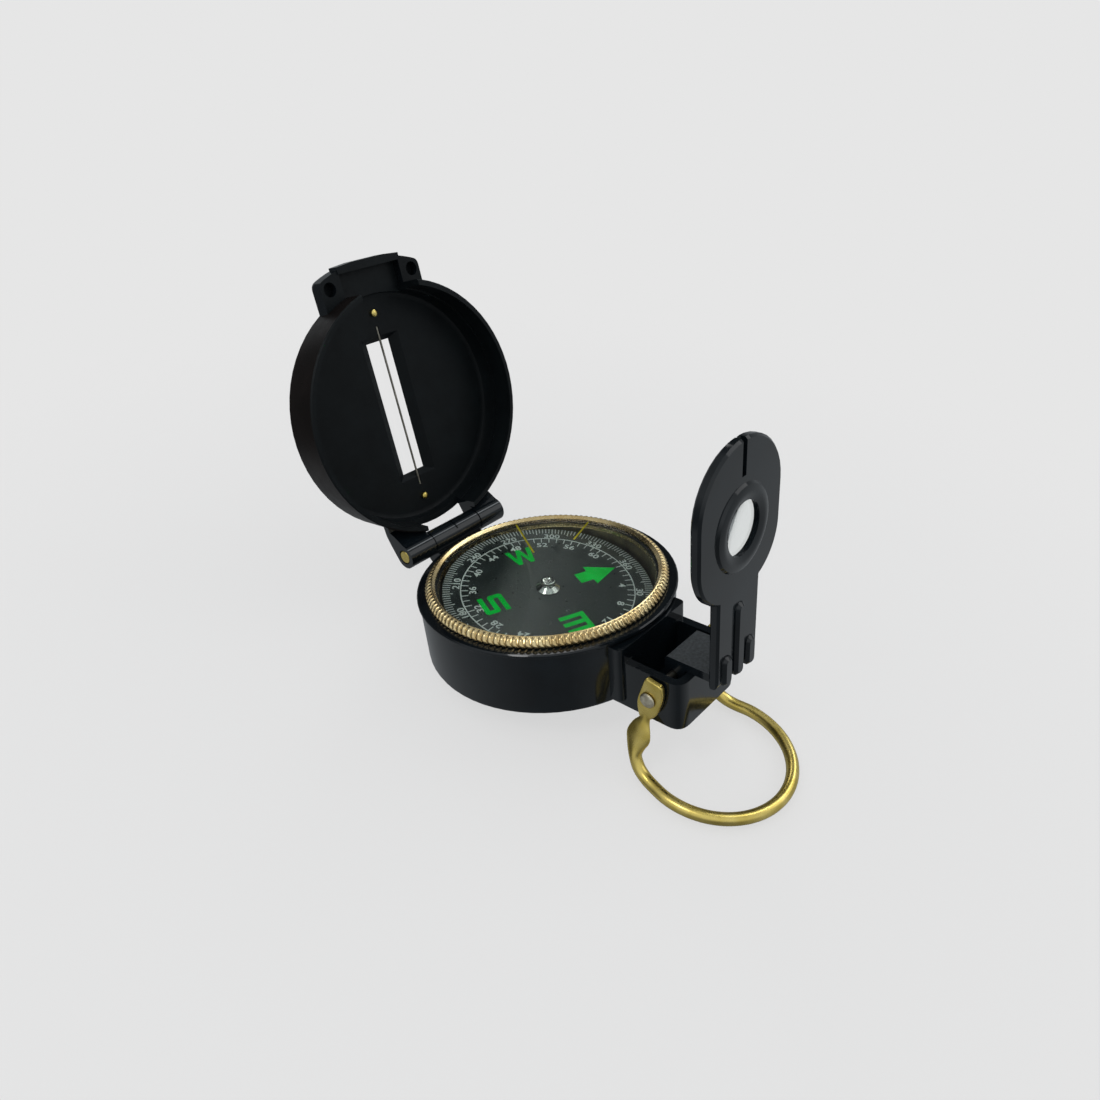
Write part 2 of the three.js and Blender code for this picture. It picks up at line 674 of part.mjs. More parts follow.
// Thumb ring: two pressed lugs, flattened shanks and the wire loop, in one piece.
function ringLug(side) {
  const at = (across, up, round) => [
    ringPivotY + across * lugHalfWidth, ringPivotZ + up * (up > 0 ? lugRise : lugDrop), round,
  ];
  const lug = outline([
    at(0.19, 1, 0.5), at(-0.98, 0.88, 0.7), at(-1.08, 0.31, 1.5), at(-0.63, -0.56, 1.2),
    at(-0.13, -0.94, 0.6), at(0.73, -1, 0.6), at(0.92, -0.31, 2),
  ]);
  const span = side < 0 ? [-lugOuter, -lugInner] : [lugInner, lugOuter];
  const hole = rodX(lugHoleRadius, span[0] - overshoot, span[1] + overshoot, ringPivotY, ringPivotZ, 20);
  return cut(solid(slabX(lug, ...span)), solid(hole));
}

function loopPoint(angle) {
  const [along, out] = [loopRadius * Math.cos(deg(angle)), loopRadius * Math.sin(deg(angle))];
  return new THREE.Vector3(along, loopY - out * Math.cos(deg(loopTilt)), loopZ - out * Math.sin(deg(loopTilt)));
}

// Stations down the left shank: place, half width along Y and half thickness.
function shankStations() {
  const mid = -(lugInner + lugOuter) / 2;
  const place = (out, back, down) => new THREE.Vector3(
    mid - out * shankSpread, ringPivotY + back * shankSweep, ringPivotZ - down * shankDrop,
  );
  const wire = loopWireRadius;
  return [
    [place(0, 0.51, 0.22), 1.25 * neckHalfWidth, 0.42 * lugThickness],
    [place(0.09, 0.56, 0.33), neckHalfWidth, 0.5 * lugThickness],
    [place(0.29, 0.77, 0.44), 0.8 * spoonHalfWidth, 0.6 * lugThickness],
    [place(0.49, 0.9, 0.57), spoonHalfWidth, 0.66 * lugThickness],
    [place(0.7, 1, 0.72), 0.73 * spoonHalfWidth, 0.85 * lugThickness],
    [place(0.87, 0.97, 0.86), wire, wire],
    [place(1, 0.51, 1), wire, wire],
  ];
}

function ringWire() {
  const spanSteps = 2;
  const stations = shankStations();
  for (let angle = loopStart; angle > 89; angle -= (loopStart - 90) / 8) {
    stations.push([loopPoint(angle), loopWireRadius, loopWireRadius]);
  }
  const path = new THREE.CatmullRomCurve3(stations.map(([point]) => point), false, 'centripetal');
  const [sides, steps] = [8, spanSteps * (stations.length - 1)];
  let across = new THREE.Vector3(0, 1, 0);
  const rings = [];
  for (let i = 0; i <= steps; i += 1) {
    const t = i / steps;
    const along = i === steps ? new THREE.Vector3(1, 0, 0) : path.getTangent(t);
    across = across.clone().addScaledVector(along, -across.dot(along)).normalize();
    const thin = new THREE.Vector3().crossVectors(along, across);
    const [low, part] = [Math.min(Math.floor(i / spanSteps), stations.length - 2), t * (stations.length - 1)];
    const blend = THREE.MathUtils.smoothstep(part - low, 0, 1);
    const [half, depth] = [1, 2].map((k) => THREE.MathUtils.lerp(stations[low][k], stations[low + 1][k], blend));
    rings.push(Array.from({ length: sides }, (_, j) => {
      const turn = (2 * Math.PI * j) / sides;
      return path.getPoint(t).addScaledVector(across, half * Math.cos(turn))
        .addScaledVector(thin, depth * Math.sin(turn)).toArray();
    }));
  }
  const mirrored = rings.slice(0, -1).reverse().map((ring) => ring.map(([x, y, z]) => [-x, y, z]));
  return solid(skin([...rings, ...mirrored]));
}

const thumbRing = () => join(ringWire(), ringLug(-1), ringLug(1));

// Assembly
const compass = new THREE.Group();
const cupOuter = cavityRadius - turnGap;
const cupBottom = caseFloor + seatGap;
const windowTop = caseHeight + windowRise;
const windowBottom = windowTop - windowThickness;
const sealBottom = windowBottom - seatGap - sealHeight;
const cupTop = sealBottom - seatGap;
const cup = revolve([
  [0, cupBottom], [cupOuter, cupBottom], [cupOuter, cupTop], [cupOuter - cupWall, cupTop],
  [cupOuter - cupWall, cupBottom + cupFloor], [0, cupBottom + cupFloor],
]);
const frictionRing = washer(
  frictionRingRadius - frictionWire / 2, frictionRingRadius + frictionWire / 2,
  caseHeight - frictionGroove + pressGap, caseHeight - frictionGroove + pressGap + frictionWire,
);
const dialCard = washer(hubStemRadius + seatGap, dialRadius, dialTop - dialThickness, dialTop, 64);
const hingePin = rodX(hingePinRadius, -coverKnuckleEnd, coverKnuckleEnd, hingeY, hingeZ, 20);
const armPinHalf = boxInner + armPinGrip - pressGap;

compass.add(
  mesh('base_case', baseCase(), blackPlastic),
  mesh('capsule_cup', solid(cup), brass),
  mesh('capsule_seal', solid(washer(cupOuter - cupWall, cupOuter, sealBottom, sealBottom + sealHeight)), rubber),
  mesh('capsule_window', solid(disc(cupOuter, windowBottom, windowTop)), clear),
  mesh('pivot_post', pivotPost(), steel),
  mesh('bezel_friction_ring', solid(frictionRing), steel),
  mesh('ring_rivet_left', ringRivet(-1), steel),
  mesh('ring_rivet_right', ringRivet(1), steel),
  mesh('arm_pin', solid(rodX(armPinRadius, -armPinHalf, armPinHalf, armPivotY, armPivotZ, 16)), steel),
  mesh('hinge_pin', solid(hingePin), brass),
  mesh('bezel_ring', bezelRing(), brass),
  mesh('bezel_crystal', solid(disc(crystalRadius, crystalBottom, crystalTop)), clear),
  mesh('sight_arm', sightArm(), blackPlastic),
  mesh('lens', lens(), clear),
  mesh('lens_ring', lensRing(), blackPlastic),
  mesh('thumb_ring', thumbRing(), gildedBrass),
);

// Adds pieces that were drawn upright as a group turned about an X axis at the given place.
function addTurned(pieces, y, z, degrees) {
  const group = new THREE.Group();
  group.position.set(0, y, z);
  group.rotation.x = deg(degrees);
  pieces.forEach((piece) => piece.position.set(0, -y, -z));
  group.add(...pieces);
  compass.add(group);
}

// The dial rides level on the post's tip.
addTurned([
  mesh('dial_card', solid(dialCard), cardBlack),
  mesh('dial_hub', dialHub(), steel),
  mesh('pivot_jewel', pivotJewel(), ruby),
  mesh('dial_magnet', dialMagnet(), magnetGrey),
], 0, postTip(), dialTilt);

// The cover is drawn shut and stands open about its hinge.
addTurned([
  mesh('cover_shell', coverShell(), blackPlastic),
  mesh('sight_wire', sightWire(), steel),
  mesh('wire_pin_upper', coverStud(-studSpread), brass),
  mesh('wire_pin_lower', coverStud(studSpread), brass),
], hingeY, hingeZ, -coverOpenAngle);

export default compass;
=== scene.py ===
import math

import bmesh
import bpy
from mathutils import Matrix, Vector


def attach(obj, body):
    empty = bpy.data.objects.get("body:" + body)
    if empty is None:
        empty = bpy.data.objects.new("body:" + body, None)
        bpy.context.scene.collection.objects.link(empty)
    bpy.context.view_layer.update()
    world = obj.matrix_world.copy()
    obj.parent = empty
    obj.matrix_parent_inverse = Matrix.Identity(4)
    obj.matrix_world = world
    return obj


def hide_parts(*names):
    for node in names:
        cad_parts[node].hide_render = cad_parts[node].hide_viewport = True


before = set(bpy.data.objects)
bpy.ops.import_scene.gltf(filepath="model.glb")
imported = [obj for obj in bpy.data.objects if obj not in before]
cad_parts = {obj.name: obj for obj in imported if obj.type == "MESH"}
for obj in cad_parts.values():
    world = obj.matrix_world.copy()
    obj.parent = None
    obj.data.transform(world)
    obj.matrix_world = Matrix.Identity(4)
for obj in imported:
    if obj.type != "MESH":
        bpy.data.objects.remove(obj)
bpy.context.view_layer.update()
scene = bpy.context.scene
scene.view_settings.view_transform = "Standard"
mm = 0.001
# Radius, in millimetres, at which a turned solid's profile meets its axis.
axis = 0.001
print("frame loaded:", len(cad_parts), "nodes")


# Materials

def linear(hexColour):
    levels = [int(hexColour[i:i + 2], 16) / 255 for i in (1, 3, 5)]
    return (*[v / 12.92 if v <= 0.04045 else ((v + 0.055) / 1.055) ** 2.4 for v in levels], 1.0)


def addNode(tree, kind, settings=None, links=None):
    node = tree.nodes.new(kind)
    for name, value in (settings or {}).items():
        if isinstance(name, int) or name in node.inputs:
            node.inputs[name].default_value = value
        else:
            setattr(node, name, value)
    for name, source in (links or {}).items():
        tree.links.new(source, node.inputs[name])
    return node


# A number goes on the socket itself, anything else is linked to it.
def sortInputs(values):
    settings = {name: value for name, value in values.items() if isinstance(value, (int, float))}
    return settings, {name: value for name, value in values.items() if name not in settings}


def mathNode(tree, operation, *values):
    settings, links = sortInputs(dict(enumerate(values)))
    return addNode(tree, "ShaderNodeMath", {"operation": operation, **settings}, links).outputs["Value"]


# Fades from one level to the other while the value crosses the span.
def fadeNode(tree, value, span, low, high, kind="LINEAR"):
    settings, links = sortInputs({"Value": value, "From Min": span[0], "From Max": span[1],
                                  "To Min": low, "To Max": high})
    return addNode(tree, "ShaderNodeMapRange", {"interpolation_type": kind, **settings}, links).outputs["Result"]


def newMaterial(name, settings):
    material = bpy.data.materials.new(name)
    material.use_nodes = True
    tree = material.node_tree
    shader = tree.nodes["Principled BSDF"]
    for socket, value in settings.items():
        shader.inputs[socket].default_value = value
    return material, tree, shader


# Part of a noise's range over which the colour or the roughness changes.
noiseSpan = {"colour": (0.35, 0.7), "rough": (0.3, 0.7)}


# Colour and roughness wander between two values with a noise of the given grain, in millimetres.
def surfaceGrain(tree, shader, colours, roughness, colourGrain, roughGrain, bump=None):
    mapped = addNode(tree, "ShaderNodeTexCoord").outputs["Object"]
    tone = addNode(tree, "ShaderNodeTexNoise", {"Scale": 1000 / colourGrain, "Detail": 3.0}, {"Vector": mapped})
    ramp = addNode(tree, "ShaderNodeValToRGB", links={"Fac": tone.outputs["Fac"]})
    for stop, place, colour in zip(ramp.color_ramp.elements, noiseSpan["colour"], colours):
        stop.position, stop.color = place, linear(colour)
    tree.links.new(ramp.outputs["Color"], shader.inputs["Base Color"])
    wear = addNode(tree, "ShaderNodeTexNoise", {"Scale": 1000 / roughGrain, "Detail": 4.0}, {"Vector": mapped})
    spread = fadeNode(tree, wear.outputs["Fac"], noiseSpan["rough"], *roughness)
    tree.links.new(spread, shader.inputs["Roughness"])
    if bump:
        grain, height = bump
        relief = addNode(tree, "ShaderNodeTexNoise", {"Scale": 1000 / grain, "Detail": 2.0}, {"Vector": mapped})
        tilt = addNode(tree, "ShaderNodeBump", {"Strength": 1.0, "Distance": height * mm},
                       {"Height": relief.outputs["Fac"]})
        tree.links.new(tilt.outputs["Normal"], shader.inputs["Normal"])


# Moulded ABS: near black, an even soft gloss with a faint ripple from the tool.
blackAbs, tree, shader = newMaterial("mouldedBlackAbs", {"IOR": 1.53, "Specular IOR Level": 0.36})
surfaceGrain(tree, shader, ("#0a0e11", "#10161a"), (0.06, 0.12), 9.0, 2.5, (1.6, 0.002))

# The same ABS inside the cover, darker and flatter: a darker base colour and a weak, rough gloss.
mattAbs, tree, shader = newMaterial("mattBlackAbs", {"IOR": 1.53, "Specular IOR Level": 0.12})
surfaceGrain(tree, shader, ("#080c0e", "#0d1214"), (0.42, 0.56), 7.0, 1.2, (0.5, 0.006))

# The cover's outer wall and back: the black ABS with its gloss turned down, a painted shade that darkens the wall,
# and a warm tint that is a painted reflection.
shadedCoverAbs, tree, shader = newMaterial("shadedCoverBlackAbs", {"IOR": 1.53, "Specular IOR Level": 0.05})
surfaceGrain(tree, shader, ("#100d0c", "#171312"), (0.26, 0.36), 8.0, 2.0, (1.2, 0.005))

# The top of the arm's foot keeps the spark-eroded texture of its tool; its greyer, sandy colour is painted light,
# lighter because these faces look up.
sparkedLitTopAbs, tree, shader = newMaterial("sparkTexturedLitTopAbs", {"IOR": 1.53, "Specular IOR Level": 0.4})
surfaceGrain(tree, shader, ("#25292b", "#3a3f42"), (0.5, 0.65), 0.7, 0.5, (0.35, 0.03))

# Drawn brass, polished by handling: bright yellow with long faint drawing marks.
ringBrass, tree, shader = newMaterial("polishedDrawnBrass", {"Metallic": 1.0})
surfaceGrain(tree, shader, ("#ccb45c", "#e6cf7c"), (0.24, 0.32), 4.0, 1.6, (2.2, 0.004))

# Turned brass under thin clear lacquer: paler and softer than the ring.
bezelBrass, tree, shader = newMaterial("turnedPaleBrass", {"Metallic": 1.0})
surfaceGrain(tree, shader, ("#c4a976", "#e2cf9f"), (0.2, 0.3), 5.0, 0.6, (0.7, 0.002))

# Brass cup of the capsule in a darker brass; its turned bead is painted in the paler bezel brass as a painted
# highlight where light falls on it.
cupBrass, tree, shader = newMaterial("darkerCupBrass", {"Metallic": 1.0})
surfaceGrain(tree, shader, ("#756a54", "#a0926f"), (0.3, 0.42), 6.0, 1.0)

# Nickel-plated rivet steel with the dimpled face of a pressed head.
rivetNickel, tree, shader = newMaterial("nickelPlatedSteel", {"Metallic": 1.0})
surfaceGrain(tree, shader, ("#b5ad98", "#d9d2bd"), (0.32, 0.45), 0.8, 0.5, (0.45, 0.05))

# Bright nickel plate on the dial's hub: nearly a mirror.
hubNickel, tree, shader = newMaterial("brightNickelPlate", {"Metallic": 1.0})
surfaceGrain(tree, shader, ("#c9c9c5", "#dededa"), (0.08, 0.16), 1.5, 0.6)

# Drawn spring steel of the sight wire, pins and pivot.
wireSteel, tree, shader = newMaterial("drawnSteel", {"Metallic": 1.0})
surfaceGrain(tree, shader, ("#77736a", "#a29d92"), (0.28, 0.4), 2.0, 0.6)

# Black anodised dial: a dark grey with a fine satin sheen.
dialBlack, tree, shader = newMaterial("blackAnodisedCard", {"IOR": 1.5, "Specular IOR Level": 1.0})
surfaceGrain(tree, shader, ("#131819", "#191e1f"), (0.27, 0.34), 14.0, 0.8, (0.35, 0.004))

# Screen-printed inks: flat, slightly raised and dry.
whiteInk, tree, shader = newMaterial("whiteScreenInk", {"IOR": 1.5})
surfaceGrain(tree, shader, ("#c6cccb", "#dce2e0"), (0.55, 0.65), 3.0, 0.8)
greenInk, tree, shader = newMaterial("greenLuminousInk", {"IOR": 1.5, "Specular IOR Level": 0.1})
surfaceGrain(tree, shader, ("#06bc3e", "#0cd24c"), (0.5, 0.6), 3.0, 0.8)
yellowInk, tree, shader = newMaterial("yellowLineInk", {"IOR": 1.5})
surfaceGrain(tree, shader, ("#e4d51c", "#f8ec34"), (0.5, 0.6), 2.0, 0.8)

# Gasket rubber, ruby jewel and sintered magnet inside the capsule.
gasketRubber, tree, shader = newMaterial("gasketRubber", {"IOR": 1.52, "Specular IOR Level": 0.3})
surfaceGrain(tree, shader, ("#0d0d0d", "#171716"), (0.6, 0.75), 2.0, 0.8)
ruby, tree, shader = newMaterial("syntheticRuby", {"IOR": 1.76})
surfaceGrain(tree, shader, ("#7d0f26", "#a3193a"), (0.05, 0.1), 0.6, 0.4)
magnetSinter, tree, shader = newMaterial("sinteredMagnet", {"Metallic": 1.0})
surfaceGrain(tree, shader, ("#3f4043", "#5c5d61"), (0.4, 0.55), 1.0, 0.5)


# Cast acrylic and lens glass: clear, and lamps reach through to what lies behind.
def clearMaterial(name, ior, tint, roughness):
    material, tree, shader = newMaterial(name, {"IOR": ior, "Transmission Weight": 1.0,
                                                "Base Color": linear(tint), "Roughness": roughness})
    passed = addNode(tree, "ShaderNodeBsdfTransparent", {"Color": linear(tint)})
    path = addNode(tree, "ShaderNodeLightPath")
    both = addNode(tree, "ShaderNodeMixShader", links={0: path.outputs["Is Shadow Ray"], 1: shader.outputs["BSDF"],
                                                       2: passed.outputs["BSDF"]})
    tree.links.new(both.outputs["Shader"], tree.nodes["Material Output"].inputs["Surface"])
    return material


castAcrylic = clearMaterial("castAcrylic", 1.49, "#f7faf8", 0.02)
wetAcrylic = clearMaterial("castAcrylicOverLiquid", 1.15, "#f7faf8", 0.02)
lensGlass = clearMaterial("crownLensGlass", 1.52, "#f7faf9", 0.0)
print("materials ready:", len(bpy.data.materials))


# Mesh helpers; sizes go in as millimetres

def newPiece(name, points, faces, material, smoothAngle=35):
    mesh = bpy.data.meshes.new(name)
    mesh.from_pydata([Vector(p) * mm for p in points], [], faces)
    piece = bpy.data.objects.new(name, mesh)
    scene.collection.objects.link(piece)
    return cleanPiece(piece, material, smoothAngle)


# Merges doubled points, turns the faces outwards and shades smooth between real edges.
def cleanPiece(piece, material, smoothAngle, turnOut=True):
    work = bmesh.new()
    work.from_mesh(piece.data)
    bmesh.ops.remove_doubles(work, verts=work.verts, dist=1e-7)
    if turnOut:
        bmesh.ops.recalc_face_normals(work, faces=work.faces)
    work.to_mesh(piece.data)
    work.free()
    piece.data.materials.clear()
    piece.data.materials.append(material)
    piece.data.shade_smooth()
    piece.data.set_sharp_from_angle(angle=math.radians(smoothAngle))
    return piece


def bakeModifiers(piece):
    depsgraph = bpy.context.evaluated_depsgraph_get()
    baked = bpy.data.meshes.new_from_object(piece.evaluated_get(depsgraph))
    piece.modifiers.clear()
    piece.data = baked
    return piece


def bevelEdges(piece, width, segments=3, angle=30):
    bevel = piece.modifiers.new("edgeRound", "BEVEL")
    bevel.width, bevel.segments = width * mm, segments
    bevel.limit_method, bevel.angle_limit = "ANGLE", math.radians(angle)
    bevel.use_clamp_overlap = True
    return bakeModifiers(piece)


# Turns a profile of (radius, height) points about +Z; loops closes the profile on itself.
def turnProfile(profile, sides=96, loops=False):
    points, faces = [], []
    for radius, height in profile:
        for k in range(sides):
            turn = 2 * math.pi * k / sides
            points.append((radius * math.cos(turn), radius * math.sin(turn), height))
    rows = len(profile)
    for i in range(rows if loops else rows - 1):
        low, high = i * sides, (i + 1) % rows * sides
        for k in range(sides):
            after = (k + 1) % sides
            faces.append((low + k, low + after, high + after, high + k))
    return points, faces


# A turned solid: its profile starts and ends beside the axis, and both ends are closed.
def turnSolid(name, profile, sides, material, smoothAngle):
    points, faces = turnProfile(profile, sides)
    end = (len(profile) - 1) * sides
    faces += [tuple(range(sides - 1, -1, -1)), tuple(range(end, end + sides))]
    return newPiece(name, points, faces, material, smoothAngle)


def placePiece(piece, matrix):
    piece.data.transform(matrix)
    return piece


def fit(piece, body, slot, *nodes):
    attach(piece, body)
    if nodes:
        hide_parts(*nodes)
    return piece


# A merged copy of a CAD node's mesh with its sharp edges rounded.
def dressedCopy(node, name, material, width, segments=2, angle=28, smoothAngle=40):
    piece = bpy.data.objects.new(name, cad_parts[node].data.copy())
    scene.collection.objects.link(piece)
    work = bmesh.new()
    work.from_mesh(piece.data)
    bmesh.ops.remove_doubles(work, verts=work.verts, dist=1e-6)
    bmesh.ops.dissolve_limit(work, angle_limit=math.radians(0.4), verts=work.verts, edges=work.edges)
    work.to_mesh(piece.data)
    work.free()
    if width:
        bevelEdges(piece, width, segments, angle)
    cleanPiece(piece, material, smoothAngle, turnOut=False)
    even = piece.modifiers.new("flatFaces", "WEIGHTED_NORMAL")
    even.keep_sharp = True
    return bakeModifiers(piece)


# Moulded black pieces

mouldedEdges = {"case": 0.22, "cover": 0.22, "arm": 0.2, "lensRing": 0.08}
coverHinge = {"y": 30.68, "z": 17.06, "open": -99.34}
hingeLine = Matrix.Translation((0, coverHinge["y"] * mm, coverHinge["z"] * mm))
coverTurn = hingeLine @ Matrix.Rotation(math.radians(coverHinge["open"]), 4, "X") @ hingeLine.inverted()
coverBowl = {"radius": 27.3, "outer": 28.3, "rim": 15.7, "floor": 26.0, "wallEnd": 22.0}


# Faces inside the cover's bowl get the darker, flatter ABS; its round wall and back get the dimmed, warm-tinted ABS,
# a painted shade and a painted reflection.
def coatBowl(piece, inside, outside, s):
    piece.data.materials.append(inside)
    piece.data.materials.append(outside)
    shut = coverTurn.inverted()
    turnBack = shut.to_3x3()
    for face in piece.data.polygons:
        x, y, z = shut @ face.center / mm
        radius = math.hypot(x, y)
        facing = turnBack @ face.normal
        inward = (facing.x * x + facing.y * y) / max(radius, 0.1)
        inBowl = radius < s["radius"] and s["rim"] < z < s["floor"] and (facing.z < -0.2 or inward < -0.2)
        if inBowl or (facing.z < -0.2 and z < s["floor"] and y < s["wallEnd"]):
            face.material_index = 1
        elif facing.z > 0.2 and z > s["floor"] or inward > 0.1 and s["radius"] < radius < s["outer"]:
            face.material_index = 2


caseBody = dressedCopy("base_case", "caseBody", blackAbs, mouldedEdges["case"])
fit(caseBody, "base", "black_plastic", "base_case")
coverBody = dressedCopy("cover_shell", "coverBody", blackAbs, mouldedEdges["cover"])
coatBowl(coverBody, mattAbs, shadedCoverAbs, coverBowl)
fit(coverBody, "cover", "black_plastic", "cover_shell")
armBody = dressedCopy("sight_arm", "armBody", blackAbs, mouldedEdges["arm"])
armBody.data.materials.append(sparkedLitTopAbs)
# Faces of the arm that look up, low on the foot, get the greyer ABS: painted light on the top.
litFootTop = {"facing": 0.9, "area": 2e-6, "below": 14}
for face in armBody.data.polygons:
    if face.normal.z > litFootTop["facing"] and face.area > litFootTop["area"] and face.center.z < litFootTop["below"] * mm:
        face.material_index = 1
fit(armBody, "sight_arm", "black_plastic", "sight_arm")
lensRetainer = dressedCopy("lens_ring", "lensRetainer", blackAbs, mouldedEdges["lensRing"])
fit(lensRetainer, "sight_arm", "inner_plastic", "lens_ring")
print("moulded pieces:", [len(p.data.polygons) for p in (caseBody, coverBody, armBody, lensRetainer)])


# Knurled bezel: a turned ring and a rounded ridge repeated round it

bezel = {"bore": 24.78, "lip": 24.38, "lipTop": 16.72, "bottom": 15.37, "seat": 16.58, "side": 26.26,
         "shoulder": 16.2, "crest": 25.02, "top": 17.28, "ridges": 126, "ridgeWidth": 1.08, "ridgeHeight": 0.46,
         "twist": 0.55, "sides": 240}


# One ridge in two tiers: up the side with a slight twist, then straight over the outer slope to the crest.
def ridgeMesh(s):
    lean = math.degrees(math.atan2(s["side"] - s["crest"], s["top"] - s["shoulder"]))
    slopeIn, slopeUp = s["crest"] - s["side"], s["top"] - s["shoulder"]
    # Each station: radius, height, lean, share of the full size and of the twist.
    spine = [(s["side"], s["bottom"] + 0.03, 0, 0.7, 1.0), (s["side"], s["bottom"] + 0.12, 0, 1.0, 0.85),
             (s["side"], s["shoulder"] - 0.2, 8, 1.0, 0.25), (s["side"], s["shoulder"] - 0.02, lean / 2, 0.42, 0.0),
             (s["side"] + 0.18 * slopeIn, s["shoulder"] + 0.18 * slopeUp, lean, 0.9, 0.0),
             (s["side"] + 0.5 * slopeIn, s["shoulder"] + 0.5 * slopeUp, lean, 0.85, 0.0),
             (s["side"] + 0.72 * slopeIn, s["shoulder"] + 0.72 * slopeUp, lean, 0.55, 0.0),
             (s["side"] + 0.92 * slopeIn, s["shoulder"] + 0.92 * slopeUp, lean, 0.05, 0.0)]
    across = [-1, -0.8, -0.45, 0, 0.45, 0.8, 1]
    points, faces = [], []
    for radius, height, tip, size, turn in spine:
        out = (math.cos(math.radians(tip)), math.sin(math.radians(tip)))
        narrow = radius / s["side"]
        for t in across:
            rise = s["ridgeHeight"] * size * math.sqrt(1 - t * t) - 0.05
            points.append((radius + rise * out[0], t * s["ridgeWidth"] / 2 * narrow + turn * s["twist"],
                           height + rise * out[1]))
    n = len(across)
    for i in range(len(spine) - 1):
        for j in range(n - 1):
            a = i * n + j
            faces.append((a, a + 1, a + n + 1, a + n))
        faces.append((i * n + n - 1, i * n, i * n + n, i * n + 2 * n - 1))
    last = (len(spine) - 1) * n
    faces += [tuple(range(n)), tuple(range(last + n - 1, last - 1, -1))]
    return points, faces


# Geometry Nodes: one shape at each point of a circle, its +X side facing out.
def repeatRound(name, shape, count, radius, material):
    tree = bpy.data.node_groups.new(name, "GeometryNodeTree")
    sockets = {}
    for label, kind, direction in (("Shape", "NodeSocketObject", "INPUT"), ("Count", "NodeSocketInt", "INPUT"),
                                   ("Radius", "NodeSocketFloat", "INPUT"), ("Finish", "NodeSocketMaterial", "INPUT"),
                                   ("Geometry", "NodeSocketGeometry", "OUTPUT")):
        sockets[label] = tree.interface.new_socket(name=label, in_out=direction, socket_type=kind).identifier
    given = addNode(tree, "NodeGroupInput")
    ring = addNode(tree, "GeometryNodeMeshCircle", links={"Vertices": given.outputs["Count"],
                                                          "Radius": given.outputs["Radius"]})
    source = addNode(tree, "GeometryNodeObjectInfo", {"transform_space": "ORIGINAL"},
                     {"Object": given.outputs["Shape"]})
    outward = addNode(tree, "FunctionNodeAlignRotationToVector", {"axis": "X", "pivot_axis": "Z"},
                      {"Vector": addNode(tree, "GeometryNodeInputPosition").outputs["Position"]})
    spread = addNode(tree, "GeometryNodeInstanceOnPoints", links={
        "Points": ring.outputs["Mesh"], "Instance": source.outputs["Geometry"],
        "Rotation": outward.outputs["Rotation"]})
    real = addNode(tree, "GeometryNodeRealizeInstances", links={"Geometry": spread.outputs["Instances"]})
    painted = addNode(tree, "GeometryNodeSetMaterial", links={"Geometry": real.outputs["Geometry"],
                                                              "Material": given.outputs["Finish"]})
    addNode(tree, "NodeGroupOutput", links={"Geometry": painted.outputs["Geometry"]})
    piece = bpy.data.objects.new(name, bpy.data.meshes.new(name))
    scene.collection.objects.link(piece)
    modifier = piece.modifiers.new(name, "NODES")
    modifier.node_group = tree
    for label, value in (("Shape", shape), ("Count", count), ("Radius", radius * mm), ("Finish", material)):
        modifier[sockets[label]] = value
    bakeModifiers(piece)
    bpy.data.objects.remove(shape)
    return piece


def joinPieces(name, pieces):
    work = bmesh.new()
    for part in pieces:
        work.from_mesh(part.data)
    mesh = bpy.data.meshes.new(name)
    work.to_mesh(mesh)
    work.free()
    materials = list(pieces[0].data.materials)
    joined = bpy.data.objects.new(name, mesh)
    for material in materials:
        mesh.materials.append(material)
    scene.collection.objects.link(joined)
    for part in pieces:
        bpy.data.objects.remove(part)
    return joined


points, faces = ridgeMesh(bezel)
ridge = newPiece("bezelRidge", points, faces, bezelBrass, 60)
ridges = repeatRound("bezelRidges", ridge, bezel["ridges"], 0.0001, bezelBrass)
ringProfile = [
    (bezel["bore"], bezel["bottom"]), (bezel["side"], bezel["bottom"]), (bezel["side"], bezel["shoulder"] - 0.06),
    (bezel["side"] - 0.06, bezel["shoulder"] + 0.03), (bezel["crest"] + 0.08, bezel["top"] - 0.03),
    (bezel["crest"] - 0.02, bezel["top"]), (bezel["crest"] - 0.1, bezel["top"] - 0.04),
    (bezel["lip"] + 0.1, bezel["lipTop"] + 0.04), (bezel["lip"] + 0.03, bezel["lipTop"]),
    (bezel["lip"], bezel["lipTop"] - 0.07), (bezel["lip"], bezel["seat"]), (bezel["bore"], bezel["seat"]),
]
points, faces = turnProfile(ringProfile, bezel["sides"], loops=True)
ring = newPiece("bezelTurning", points, faces, bezelBrass, 35)
bezelKnurl = joinPieces("bezelKnurl", [ring, ridges])
fit(bezelKnurl, "bezel", "bezel_brass", "bezel_ring")
print("bezel:", len(bezelKnurl.data.polygons), "faces")


# Clear discs and lens

# Radius, underside and top of each disc.
clearDisc = {"crystal": (24.75, 16.0, 16.55), "window": (24.55, 15.43, 15.88), "edge": 0.08, "sides": 128}


def clearPlate(name, disc, material):
    radius, low, high = clearDisc[disc]
    edge = clearDisc["edge"]
    profile = [(axis, low), (radius - edge, low), (radius, low + edge), (radius, high - edge),
               (radius - edge, high), (axis, high)]
    return turnSolid(name, profile, clearDisc["sides"], material, 25)


fit(clearPlate("bezelCrystal", "crystal", castAcrylic), "bezel", "clear_window", "bezel_crystal")
fit(clearPlate("capsuleWindow", "window", wetAcrylic), "base", "clear_window", "capsule_window")

lensShape = {"radius": 6.3, "crown": 0.45, "front": 0.685, "rim": 0.5, "faceY": -47.79, "centreZ": 41.8,
             "rings": 14, "eye": 0.002, "sides": 96}


